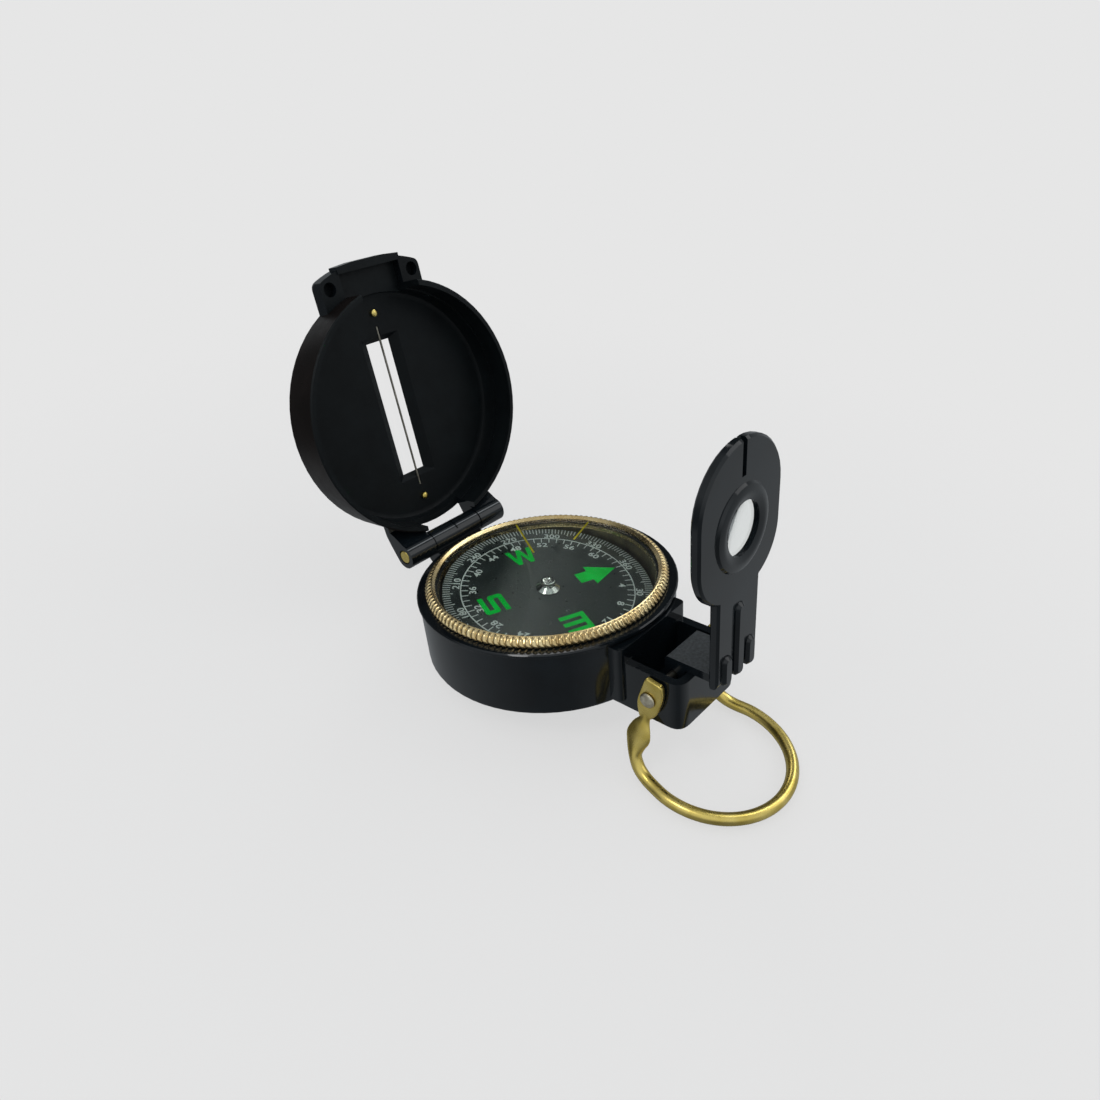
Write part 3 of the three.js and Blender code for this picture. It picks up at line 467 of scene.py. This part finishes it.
def lensPiece(s):
    def face(level, side):
        steps = [s["eye"] + (1 - s["eye"]) * i / s["rings"] for i in range(s["rings"] + 1)]
        return [(s["radius"] * t, level + side * s["crown"] * (1 - t * t)) for t in steps]
    profile = face(s["front"], -1) + face(s["front"] + s["rim"], 1)[::-1]
    piece = turnSolid("sightLens", profile, s["sides"], lensGlass, 30)
    stand = Matrix(((1, 0, 0, 0), (0, 0, 1, s["faceY"] * mm), (0, -1, 0, s["centreZ"] * mm), (0, 0, 0, 1)))
    return placePiece(piece, stand)


fit(lensPiece(lensShape), "sight_arm", "lens_glass", "lens")
print("clear pieces ready")


# Thumb ring: pressed lugs, flattened shanks and the wire loop

thumb = {"wire": 1.3, "loopRadius": 15.7, "loopY": -43.29, "loopZ": -12.15, "loopTilt": 8.43, "loopStart": 196,
         "pivotY": -35.5, "pivotZ": 5.85, "lugInner": 10.16, "lugOuter": 11.36, "sides": 24, "steps": 8,
         "hole": 1.35, "edge": 0.28}


def loopPoint(s, angle):
    along, out = s["loopRadius"] * math.cos(math.radians(angle)), s["loopRadius"] * math.sin(math.radians(angle))
    tilt = math.radians(s["loopTilt"])
    return Vector((along, s["loopY"] - out * math.cos(tilt), s["loopZ"] - out * math.sin(tilt)))


def shankStations(s):
    mid, plate, wire = -(s["lugInner"] + s["lugOuter"]) / 2, s["lugOuter"] - s["lugInner"], s["wire"]
    # Each station: offset from the lug's middle and the pivot, half width and half thickness.
    drops = [(0, 1.0, -3.6, 1.5, 0.42 * plate), (-0.3, 1.1, -5.3, 1.2, 0.5 * plate),
             (-1.0, 1.5, -7.2, 2.2, 0.6 * plate), (-1.7, 1.75, -9.2, 2.75, 0.66 * plate),
             (-2.4, 1.9, -11.4, 2.0, 0.85 * plate), (-3.0, 1.6, -13.4, wire, wire), (-3.5, 0.5, -15.3, wire, wire),
             (-3.9, -1.2, -16.6, wire, wire)]
    stations = [(Vector((mid + x, s["pivotY"] + y, s["pivotZ"] + z)), half, thin) for x, y, z, half, thin in drops]
    for k in range(9):
        angle = s["loopStart"] - (s["loopStart"] - 90) * k / 8
        stations.append((loopPoint(s, angle), wire, wire))
    mirrored = [(Vector((-p.x, p.y, p.z)), half, thin) for p, half, thin in stations[-2::-1]]
    return stations + mirrored


# Catmull-Rom between stations, for the place and for both half sizes.
def smoothPath(stations, steps):
    values = [(*p, half, thin) for p, half, thin in stations]
    values = [values[0]] + values + [values[-1]]
    path = []
    for i in range(1, len(values) - 2):
        for k in range(steps if i < len(values) - 3 else steps + 1):
            t = k / steps
            a, b, c, d = values[i - 1:i + 3]
            path.append([0.5 * (2 * b[n] + (c[n] - a[n]) * t + (2 * a[n] - 5 * b[n] + 4 * c[n] - d[n]) * t * t
                                + (3 * b[n] - a[n] - 3 * c[n] + d[n]) * t ** 3) for n in range(5)])
    return path


def thumbWire(s):
    path = smoothPath(shankStations(s), s["steps"])
    centres = [Vector(row[:3]) for row in path]
    across = Vector((0, 1, 0))
    points, faces = [], []
    for i, row in enumerate(path):
        along = (centres[min(i + 1, len(path) - 1)] - centres[max(i - 1, 0)]).normalized()
        across = (across - along * across.dot(along)).normalized()
        thin = along.cross(across)
        for j in range(s["sides"]):
            turn = 2 * math.pi * j / s["sides"]
            points.append(centres[i] + across * row[3] * math.cos(turn) + thin * row[4] * math.sin(turn))
    n = s["sides"]
    for i in range(len(path) - 1):
        for j in range(n):
            faces.append((i * n + j, i * n + (j + 1) % n, (i + 1) * n + (j + 1) % n, (i + 1) * n + j))
    last = (len(path) - 1) * n
    faces += [tuple(range(n - 1, -1, -1)), tuple(range(last, last + n))]
    return newPiece("thumbWire", points, faces, ringBrass, 60)


# Corners of a lug round its pivot, seen along X, each with the radius it is rounded to.
lugOutline = [(0.6, 4.9, 0.5), (-3.1, 4.3, 0.7), (-3.4, 1.5, 1.5), (-2.0, -2.9, 1.2), (-0.4, -4.9, 0.6),
              (2.3, -5.2, 0.6), (2.9, -1.6, 2.0)]


def roundedOutline(corners, steps=5):
    outline = []
    for i, (x, y, radius) in enumerate(corners):
        here = Vector((x, y))
        ends = []
        for other in (corners[i - 1], corners[(i + 1) % len(corners)]):
            side = Vector(other[:2]) - here
            ends.append(here + side.normalized() * min(radius, side.length / 2))
        for k in range(steps + 1):
            t = k / steps
            outline.append(ends[0] * (1 - t) ** 2 + here * 2 * t * (1 - t) + ends[1] * t * t)
    return outline


# A lug is a plate with a round hole: the outline and the hole are bridged on both faces.
def thumbLug(s, side):
    rim = roundedOutline(lugOutline)
    n = len(rim)
    hole = []
    for p in rim:
        turn = math.atan2(p.y, p.x)
        hole.append(Vector((s["hole"] * math.cos(turn), s["hole"] * math.sin(turn))))
    points, faces = [], []
    for x in (s["lugInner"], s["lugOuter"]):
        for loop in (rim, hole):
            points += [(side * x, s["pivotY"] + p.x, s["pivotZ"] + p.y) for p in loop]
    for j in range(n):
        k = (j + 1) % n
        faces += [(j, k, n + k, n + j), (2 * n + j, 3 * n + j, 3 * n + k, 2 * n + k),
                  (j, 2 * n + j, 2 * n + k, k), (n + j, n + k, 3 * n + k, 3 * n + j)]
    lug = newPiece("thumbLug", points, faces, ringBrass, 30)
    bevelEdges(lug, s["edge"], 3, 40)
    return cleanPiece(lug, ringBrass, 35)


thumbRing = joinPieces("thumbRing", [thumbWire(thumb), thumbLug(thumb, -1), thumbLug(thumb, 1)])
fit(thumbRing, "thumb_ring", "ring_brass", "thumb_ring")

rivet = {"radius": 1.15, "head": 1.65, "crown": 0.6, "seat": 11.45, "tail": 8.52, "sides": 40}


def rivetPiece(s, side, name):
    seat, head = s["seat"], s["head"]
    profile = [(axis, s["tail"]), (s["radius"], s["tail"]), (s["radius"], seat), (head - 0.08, seat),
               (head, seat + 0.08), (head, seat + 0.22), (head * 0.93, seat + 0.37), (head * 0.78, seat + 0.5),
               (head * 0.5, seat + s["crown"] - 0.03), (axis, seat + s["crown"])]
    piece = turnSolid(name, profile, s["sides"], rivetNickel, 40)
    turn = Matrix(((0, 0, side, 0), (side, 0, 0, thumb["pivotY"] * mm), (0, 1, 0, thumb["pivotZ"] * mm),
                   (0, 0, 0, 1)))
    return placePiece(piece, turn)


fit(rivetPiece(rivet, -1, "rivetLeft"), "base", "steel", "ring_rivet_left")
fit(rivetPiece(rivet, 1, "rivetRight"), "base", "steel", "ring_rivet_right")
fit(dressedCopy("hinge_pin", "hingeRod", ringBrass, 0.2, 3), "base", "ring_brass", "hinge_pin")
print("thumb ring:", len(thumbRing.data.polygons), "faces")


# Cover fittings: sight wire and its two studs

fittings = {"wire": 0.25, "wireHalf": 18.9, "wireZ": 24.785, "stud": 0.75, "studLow": 23.66, "studHigh": 25.31,
            "spread": 21.9, "wireSides": 16, "studSides": 28}


def sightWire(s):
    profile = [(axis, -s["wireHalf"]), (s["wire"], -s["wireHalf"]), (s["wire"], s["wireHalf"]), (axis, s["wireHalf"])]
    piece = turnSolid("sightWire", profile, s["wireSides"], wireSteel, 40)
    lay = Matrix.Translation((0, 0, s["wireZ"] * mm)) @ Matrix.Rotation(math.radians(90), 4, "X")
    return placePiece(piece, coverTurn @ lay)


def coverStud(s, y, name):
    low, high, r = s["studLow"], s["studHigh"], s["stud"]
    profile = [(axis, low), (0.4 * r, low + 0.02), (0.75 * r, low + 0.1), (r, low + 0.25), (r, high), (axis, high)]
    piece = turnSolid(name, profile, s["studSides"], ringBrass, 50)
    return placePiece(piece, coverTurn @ Matrix.Translation((0, y * mm, 0)))


fit(sightWire(fittings), "cover", "steel", "sight_wire")
fit(coverStud(fittings, -fittings["spread"], "wireStudUpper"), "cover", "ring_brass", "wire_pin_upper")
fit(coverStud(fittings, fittings["spread"], "wireStudLower"), "cover", "ring_brass", "wire_pin_lower")
print("cover fittings ready")


# Dial: card, hub and print, drawn level at its own centre and then set on the pivot

dial = {"top": 11.8, "radius": 23.4, "thick": 0.5, "eye": 1.53, "tilt": 8.0, "pivotZ": 11.45, "north": -20.5,
        "ink": 0.03, "sides": 128}
dialPivot = Matrix.Translation((0, 0, dial["pivotZ"] * mm))
dialPlace = dialPivot @ Matrix.Rotation(math.radians(dial["tilt"]), 4, "X") @ dialPivot.inverted()
inkLow, inkHigh = dial["top"] - 0.02, dial["top"] + dial["ink"]


def dialCard(s):
    r, top, low = s["radius"], s["top"], s["top"] - s["thick"]
    points, faces = turnProfile([(s["eye"], low), (r - 0.1, low), (r, low + 0.1), (r, top - 0.1), (r - 0.1, top),
                                 (s["eye"], top)], s["sides"], loops=True)
    return placePiece(newPiece("dialCard", points, faces, dialBlack, 30), dialPlace)


fit(dialCard(dial), "dial", "dial_black", "dial_card")

hub = {"flange": 2.66, "cone": 1.0, "height": 2.15, "neck": 1.15, "cap": 1.55, "capHeight": 0.75, "dimple": 0.2,
       "stem": 1.5, "stemLength": 2.0, "bore": 0.98, "round": 0.1, "sides": 64}


def hubPiece(s):
    face, end = dial["top"] + 0.03, dial["top"] - dial["thick"] - s["stemLength"]
    top, cap, neck, r = face + s["height"], s["cap"], s["neck"], s["round"]
    cone, capLow, ceiling = face + s["cone"], face + s["height"] - s["capHeight"], dial["top"]
    profile = [(axis, ceiling), (s["bore"], ceiling), (s["bore"], end), (s["stem"], end), (s["stem"], face),
               (s["flange"] - r, face), (s["flange"], face + r), (s["flange"], face + 0.25 - r / 2),
               (s["flange"] - r, face + 0.25 + r / 2), (cap + r, cone - r), (cap, cone), (neck + r / 2, cone),
               (neck, cone + r / 2), (neck, capLow - r / 2), (neck + r / 2, capLow), (cap - r, capLow),
               (cap, capLow + r), (cap, top - s["dimple"]), (cap - 0.4 * s["dimple"], top - 0.35 * s["dimple"]),
               (cap - s["dimple"], top), (cap / 2 + r, top), (cap / 2, top - r), (cap / 2 - r, top - s["dimple"]),
               (axis, top - s["dimple"])]
    return placePiece(turnSolid("dialHub", profile, s["sides"], hubNickel, 32), dialPlace)


fit(hubPiece(hub), "dial", "hub_chrome", "dial_hub")


# Flat ink shapes: outlines in the dial's plane, given a hair of thickness.
def inkShape(name, outlines, material):
    points, faces = [], []
    for outline in outlines:
        start, n = len(points), len(outline)
        points += [(x, y, inkLow) for x, y in outline] + [(x, y, inkHigh) for x, y in outline]
        faces += [tuple(range(start + n - 1, start - 1, -1)), tuple(range(start + n, start + 2 * n))]
        faces += [(start + j, start + (j + 1) % n, start + n + (j + 1) % n, start + n + j) for j in range(n)]
    return newPiece(name, points, faces, material, 30)


# The dial reads clockwise: a bearing in degrees to an angle from +X.
def bearing(degrees):
    return math.radians(dial["north"] - degrees)


def tickBox(inner, outer, width, material):
    half = width / 2
    return inkShape("tick", [[(inner, -half), (outer, -half), (outer, half), (inner, half)]], material)


# Count, inner and outer radius and width of each row of ticks.
ticks = {"degree": (180, 21.55, 23.25, 0.2), "ten": (36, 20.95, 23.25, 0.22), "mil": (64, 17.6, 19.25, 0.22)}
milCircle = {"radius": 19.25, "width": 0.26, "sides": 180}


def dialTicks():
    rows = []
    for name, (count, inner, outer, width) in ticks.items():
        row = repeatRound(name + "Ticks", tickBox(inner, outer, width, whiteInk), count, 0.0001, whiteInk)
        rows.append(placePiece(row, Matrix.Rotation(bearing(0), 4, "Z")))
    r, half = milCircle["radius"], milCircle["width"] / 2
    points, faces = turnProfile([(r - half, inkLow), (r + half, inkLow), (r + half, inkHigh), (r - half, inkHigh)],
                                milCircle["sides"], loops=True)
    rows.append(newPiece("milCircle", points, faces, whiteInk, 30))
    return rows


numerals = {"degreeRadius": 20.2, "degreeSize": 2.15, "degreeStep": 30, "milRadius": 16.5, "milSize": 2.2,
            "milStep": 4, "mils": 64, "wide": 1.22, "bold": 0.035, "thick": 0.012, "lift": 0.008}


def textMesh(words, size, s):
    curve = bpy.data.curves.new("numeral", "FONT")
    curve.body, curve.size = words, size * mm
    curve.align_x, curve.align_y = "CENTER", "CENTER"
    curve.extrude, curve.offset, curve.resolution_u = s["thick"] * mm, s["bold"] * mm, 3
    carrier = bpy.data.objects.new("numeral", curve)
    scene.collection.objects.link(carrier)
    mesh = bpy.data.meshes.new_from_object(carrier.evaluated_get(bpy.context.evaluated_depsgraph_get()))
    bpy.data.objects.remove(carrier)
    piece = bpy.data.objects.new("numeral", mesh)
    scene.collection.objects.link(piece)
    return cleanPiece(piece, whiteInk, 30)


def dialNumerals(s):
    marks = [(str(d if d else 360), d, s["degreeRadius"], s["degreeSize"]) for d in range(0, 360, s["degreeStep"])]
    marks += [(str(m), m * 360 / s["mils"], s["milRadius"], s["milSize"])
              for m in range(s["milStep"], s["mils"], s["milStep"])]
    rows = []
    for words, degrees, radius, size in marks:
        turn = bearing(degrees)
        lay = (Matrix.Translation((radius * mm * math.cos(turn), radius * mm * math.sin(turn),
                                   (dial["top"] + s["lift"]) * mm)) @ Matrix.Rotation(turn - math.pi / 2, 4, "Z"))
        rows.append(placePiece(textMesh(words, size, s), lay @ Matrix.Diagonal((s["wide"], 1, 1, 1))))
    return rows


dialScale = joinPieces("dialScale", dialTicks() + dialNumerals(numerals))
placePiece(dialScale, dialPlace)
fit(dialScale, "dial", "dial_black")

letters = {"low": 10.3, "high": 15.9, "half": 2.95, "stroke": 1.15, "corner": 0.5}


# Block letters from bars, in a box with its top facing out along +Y.
def blockLetters(s):
    low, high, half, bar, cut = s["low"], s["high"], s["half"], s["stroke"], s["corner"]
    mid = (low + high) / 2
    east = [[(-half, low), (half, low), (half, low + bar), (bar - half, low + bar), (bar - half, mid - bar / 2),
             (half, mid - bar / 2), (half, mid + bar / 2), (bar - half, mid + bar / 2), (bar - half, high - bar),
             (half, high - bar), (half, high), (-half, high)]]
    south = [[(-half, low), (half - cut, low), (half, low + cut), (half, mid + bar / 2 - cut),
              (half - cut, mid + bar / 2), (bar - half, mid + bar / 2), (bar - half, high - bar), (half, high - bar),
              (half, high), (cut - half, high), (-half, high - cut), (-half, mid - bar / 2 + cut),
              (cut - half, mid - bar / 2), (half - bar, mid - bar / 2), (half - bar, low + bar), (-half, low + bar)]]
    deep, rise = high - 0.62 * (high - low), high - 0.34 * (high - low)
    west = [[(-3.2, high), (-2.15, high), (-1.43, deep), (-0.5, high), (0.5, high), (1.43, deep), (2.15, high),
             (3.2, high), (2.0, low), (1.0, low), (0, rise), (-1.0, low), (-2.0, low)]]
    return {90: east, 180: south, 270: west}


arrow = [(7.6, -1.7), (10.75, -1.7), (10.75, -3.4), (17.3, 0), (10.75, 3.4), (10.75, 1.7), (7.6, 1.7)]


def dialSigns():
    rows = []
    for degrees, outlines in blockLetters(letters).items():
        piece = inkShape("letter", outlines, greenInk)
        rows.append(placePiece(piece, Matrix.Rotation(bearing(degrees) - math.pi / 2, 4, "Z")))
    rows.append(placePiece(inkShape("northArrow", [arrow], greenInk), Matrix.Rotation(bearing(0), 4, "Z")))
    return rows


dialLetters = joinPieces("dialLetters", dialSigns())
placePiece(dialLetters, dialPlace)
fit(dialLetters, "dial", "dial_black")
print("dial print:", len(dialScale.data.polygons) + len(dialLetters.data.polygons), "faces")

# Each index line: its angle, inner and outer radius.
indexLines = {"long": (60.0, 9.5, 24.27), "short": (17.5, 15.3, 24.25), "width": 0.42, "z": 15.97}


def indexLine(s):
    rows = []
    for name in ("long", "short"):
        degrees, inner, outer = s[name]
        line = tickBox(inner, outer, s["width"], yellowInk)
        lift = Matrix.Translation((0, 0, (s["z"] - dial["top"]) * mm))
        rows.append(placePiece(line, lift @ Matrix.Rotation(math.radians(degrees), 4, "Z")))
    return rows


fit(joinPieces("indexLines", indexLine(indexLines)), "bezel", "bezel_brass")

# Brass cup under the window; a bead is turned round its wall just above the dial's edge and painted in the paler
# brass as a painted highlight.
cup = {"outer": 24.55, "wall": 24.0, "bead": 23.78, "low": 1.63, "floor": 2.63, "top": 15.2, "beadTop": 15.0,
       "beadLow": 14.1, "sides": 128}


def cupPiece(s):
    profile = [(axis, s["low"]), (s["outer"], s["low"]), (s["outer"], s["top"]), (s["wall"], s["top"]),
               (s["wall"], s["beadTop"]), (s["bead"] + 0.05, s["beadLow"] + 0.2), (s["bead"], s["beadLow"] + 0.12),
               (s["bead"] + 0.05, s["beadLow"] + 0.04), (s["wall"], s["beadLow"]), (s["wall"], s["floor"]),
               (axis, s["floor"])]
    piece = turnSolid("capsuleCup", profile, s["sides"], cupBrass, 50)
    # The bead's band takes the paler bezel brass: a painted highlight.
    piece.data.materials.append(bezelBrass)
    for face in piece.data.polygons:
        z = face.center.z / mm
        if math.hypot(face.center.x, face.center.y) / mm < s["wall"] and s["beadLow"] < z < s["beadTop"]:
            face.material_index = 1
    return piece


fit(cupPiece(cup), "base", "bezel_brass", "capsule_cup")

# CAD nodes that show as they are
for node, material in {"capsule_seal": gasketRubber, "pivot_post": wireSteel,
                       "bezel_friction_ring": wireSteel, "arm_pin": wireSteel, "pivot_jewel": ruby,
                       "dial_magnet": magnetSinter}.items():
    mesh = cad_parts[node].data
    mesh.materials.clear()
    mesh.materials.append(material)


# Floor, light and camera

stageLook = {"pale": "#e6e6e6", "bounced": "#f4f6f8", "worldLight": 0.75, "floorSpan": 4.0, "floorGap": 0.0002,
             "floorCover": 0.22, "floorFade": (0.06, 0.22), "leanRange": (0.0, 30.0), "leanSteps": 40}


# The compass leans on its thumb ring: finds the tilt at which the case and the ring touch one plane.
def restingPlane():
    def reach(node, normal):
        return min(v.co.dot(normal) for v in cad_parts[node].data.vertices)
    low, high = stageLook["leanRange"]
    for _ in range(stageLook["leanSteps"]):
        lean = (low + high) / 2
        normal = Vector((0, -math.sin(math.radians(lean)), math.cos(math.radians(lean))))
        low, high = (lean, high) if reach("thumb_ring", normal) < reach("base_case", normal) else (low, lean)
    return normal, reach("base_case", normal)


floorNormal, floorReach = restingPlane()
side = Vector((1, 0, 0))
ahead = floorNormal.cross(side)
span = stageLook["floorSpan"]
corners = [floorNormal * (floorReach - stageLook["floorGap"]) + side * a * span + ahead * b * span
           for a, b in ((-1, -1), (1, -1), (1, 1), (-1, 1))]
floorMesh = bpy.data.meshes.new("paleFloor")
floorMesh.from_pydata(corners, [], [(0, 1, 2, 3)])
floor = bpy.data.objects.new("paleFloor", floorMesh)
scene.collection.objects.link(floor)
print("floor leans", round(math.degrees(math.asin(-floorNormal.y)), 2), "degrees")

floorPaper, tree, shader = newMaterial("palePaper", {"Base Color": linear(stageLook["pale"]), "Roughness": 0.9,
                                                     "Specular IOR Level": 0.0})
openFloor = addNode(tree, "ShaderNodeBsdfTransparent")
spot = addNode(tree, "ShaderNodeTexCoord").outputs["Object"]
away = addNode(tree, "ShaderNodeVectorMath", {"operation": "LENGTH"}, {0: spot}).outputs["Value"]
fade = fadeNode(tree, away, stageLook["floorFade"], stageLook["floorCover"], 0.0, "SMOOTHSTEP")
path = addNode(tree, "ShaderNodeLightPath")
plain = mathNode(tree, "SUBTRACT", 1.0, path.outputs["Is Glossy Ray"])
veil = addNode(tree, "ShaderNodeMixShader", links={0: mathNode(tree, "MULTIPLY", fade, plain),
                                                   1: openFloor.outputs["BSDF"], 2: shader.outputs["BSDF"]})
tree.links.new(veil.outputs["Shader"], tree.nodes["Material Output"].inputs["Surface"])
floorMesh.materials.append(floorPaper)

world = bpy.data.worlds.new("paleStudio")
scene.world = world
world.use_nodes = True
tree = world.node_tree
shown = tree.nodes["Background"]
shown.inputs["Color"].default_value = linear(stageLook["pale"])
lit = addNode(tree, "ShaderNodeBackground", {"Color": linear(stageLook["bounced"]),
                                             "Strength": stageLook["worldLight"]})
path = addNode(tree, "ShaderNodeLightPath")
glossed = mathNode(tree, "GREATER_THAN", path.outputs["Glossy Depth"], 0.5)
bounces = mathNode(tree, "ADD", path.outputs["Glossy Depth"], path.outputs["Diffuse Depth"])
straight = mathNode(tree, "LESS_THAN", bounces, 0.5)
through = mathNode(tree, "MULTIPLY", path.outputs["Is Transmission Ray"], straight)
seen = mathNode(tree, "MAXIMUM", path.outputs["Is Camera Ray"], through)

# The room that polished faces mirror: its levels, the way each side of it lies and where one fades into the next.
room = {"colour": "#f0f6fa", "far": 0.05, "side": 0.4, "near": 0.9, "below": (0.2, 0.48), "left": -0.75,
        "behind": 0.22, "farWay": (0.62, 0.61, 0.5), "farFade": (0.82, 0.96), "nearWay": (-0.7, -0.7, 0.1),
        "nearFade": (-0.2, 0.7), "lowWay": (0.71, -0.71, 0.0), "lowFade": (0.15, 0.8), "riseFade": (-0.2, 0.3),
        "behindWay": (-0.5, 0.87, 0.0), "behindFade": (0.78, 0.88), "behindRise": (-0.5, -0.3),
        "stripWay": (0.62, -0.2, 0.76), "stripEnds": (0.86, 0.92), "stripEdge": (0.06, 0.1), "stripLevel": 4.0}
heading = addNode(tree, "ShaderNodeTexCoord").outputs["Generated"]


def headingAlong(way):
    return addNode(tree, "ShaderNodeVectorMath", {"operation": "DOT_PRODUCT", 1: way}, {0: heading}).outputs["Value"]


# It is dim beyond the compass, bright above its near side and low down at both sides.
farLevel = fadeNode(tree, headingAlong(room["farWay"]), room["farFade"], room["side"], room["far"], "SMOOTHSTEP")
sideLevel = fadeNode(tree, headingAlong(room["nearWay"]), room["nearFade"], farLevel, room["near"])
height = addNode(tree, "ShaderNodeSeparateXYZ", links={"Vector": heading}).outputs["Z"]
lowSide = headingAlong(room["lowWay"])
aside = mathNode(tree, "MAXIMUM", lowSide, mathNode(tree, "MULTIPLY", lowSide, room["left"]))
lowLevel = fadeNode(tree, aside, room["lowFade"], *room["below"])
above = fadeNode(tree, height, room["riseFade"], lowLevel, sideLevel)

# It is darkest behind the compass to the left, which the cover's outer wall mirrors.
raised = fadeNode(tree, height, room["behindRise"], 1.0, room["behind"], "SMOOTHSTEP")
shade = fadeNode(tree, headingAlong(room["behindWay"]), room["behindFade"], 1.0, raised, "SMOOTHSTEP")
walls = mathNode(tree, "MULTIPLY", above, shade)

# A strip softbox hangs over the right side; it shows only in polished faces, as a line along the hinge barrels.
stripWay = Vector(room["stripWay"]).normalized()
stripEdge = stripWay.cross(Vector((1, 0, 0))).normalized()
stripLength = fadeNode(tree, headingAlong(stripWay), room["stripEnds"], 0.0, 1.0)
stripOff = mathNode(tree, "ABSOLUTE", headingAlong(stripEdge))
stripWidth = fadeNode(tree, stripOff, room["stripEdge"], room["stripLevel"], 0.0)
level = mathNode(tree, "ADD", walls, mathNode(tree, "MULTIPLY", stripLength, stripWidth))
walled = addNode(tree, "ShaderNodeBackground", {"Color": linear(room["colour"])}, {"Strength": level})
mirrored = addNode(tree, "ShaderNodeMixShader", links={0: glossed, 1: lit.outputs["Background"],
                                                       2: walled.outputs["Background"]})
either = addNode(tree, "ShaderNodeMixShader", links={0: seen, 1: mirrored.outputs["Shader"],
                                                     2: shown.outputs["Background"]})
tree.links.new(either.outputs["Shader"], tree.nodes["World Output"].inputs["Surface"])

# Place, width and power of each round lamp; all face the middle of the compass.
aim = (0, 0, 0.015)
lamps = {
    "windowLight": ((-0.30, -0.05, 0.42), 0.14, 0.34),
    "fillLight": ((0.32, -0.34, 0.30), 0.35, 0.32),
    "topLight": ((0.33, 0.36, 0.50), 0.19, 0.22),
}
for name, (place, size, power) in lamps.items():
    lamp = bpy.data.lights.new(name, "AREA")
    lamp.shape, lamp.size, lamp.energy = "DISK", size, power
    stand = bpy.data.objects.new(name, lamp)
    stand.location = place
    stand.rotation_mode = "QUATERNION"
    stand.rotation_quaternion = (Vector(aim) - Vector(place)).to_track_quat("-Z", "Y")
    scene.collection.objects.link(stand)

view = {"place": (-109.631, -110.729, 110.640), "right": (0.66917, -0.73871, -0.0807),
        "up": (0.41532, 0.28174, 0.86494), "ahead": (0.61621, 0.61232, -0.49534), "lens": 27.216}
lensData = bpy.data.cameras.new("photoCamera")
lensData.sensor_width, lensData.lens = 36, view["lens"]
lensData.clip_start, lensData.clip_end = 0.005, 20
camera = bpy.data.objects.new("photoCamera", lensData)
columns = [view["right"], view["up"], tuple(-v for v in view["ahead"]), tuple(v * mm for v in view["place"])]
camera.matrix_world = Matrix([[c[i] for c in columns] for i in range(3)] + [[0, 0, 0, 1]])
scene.collection.objects.link(camera)
scene.camera = camera
print("camera and lights ready")
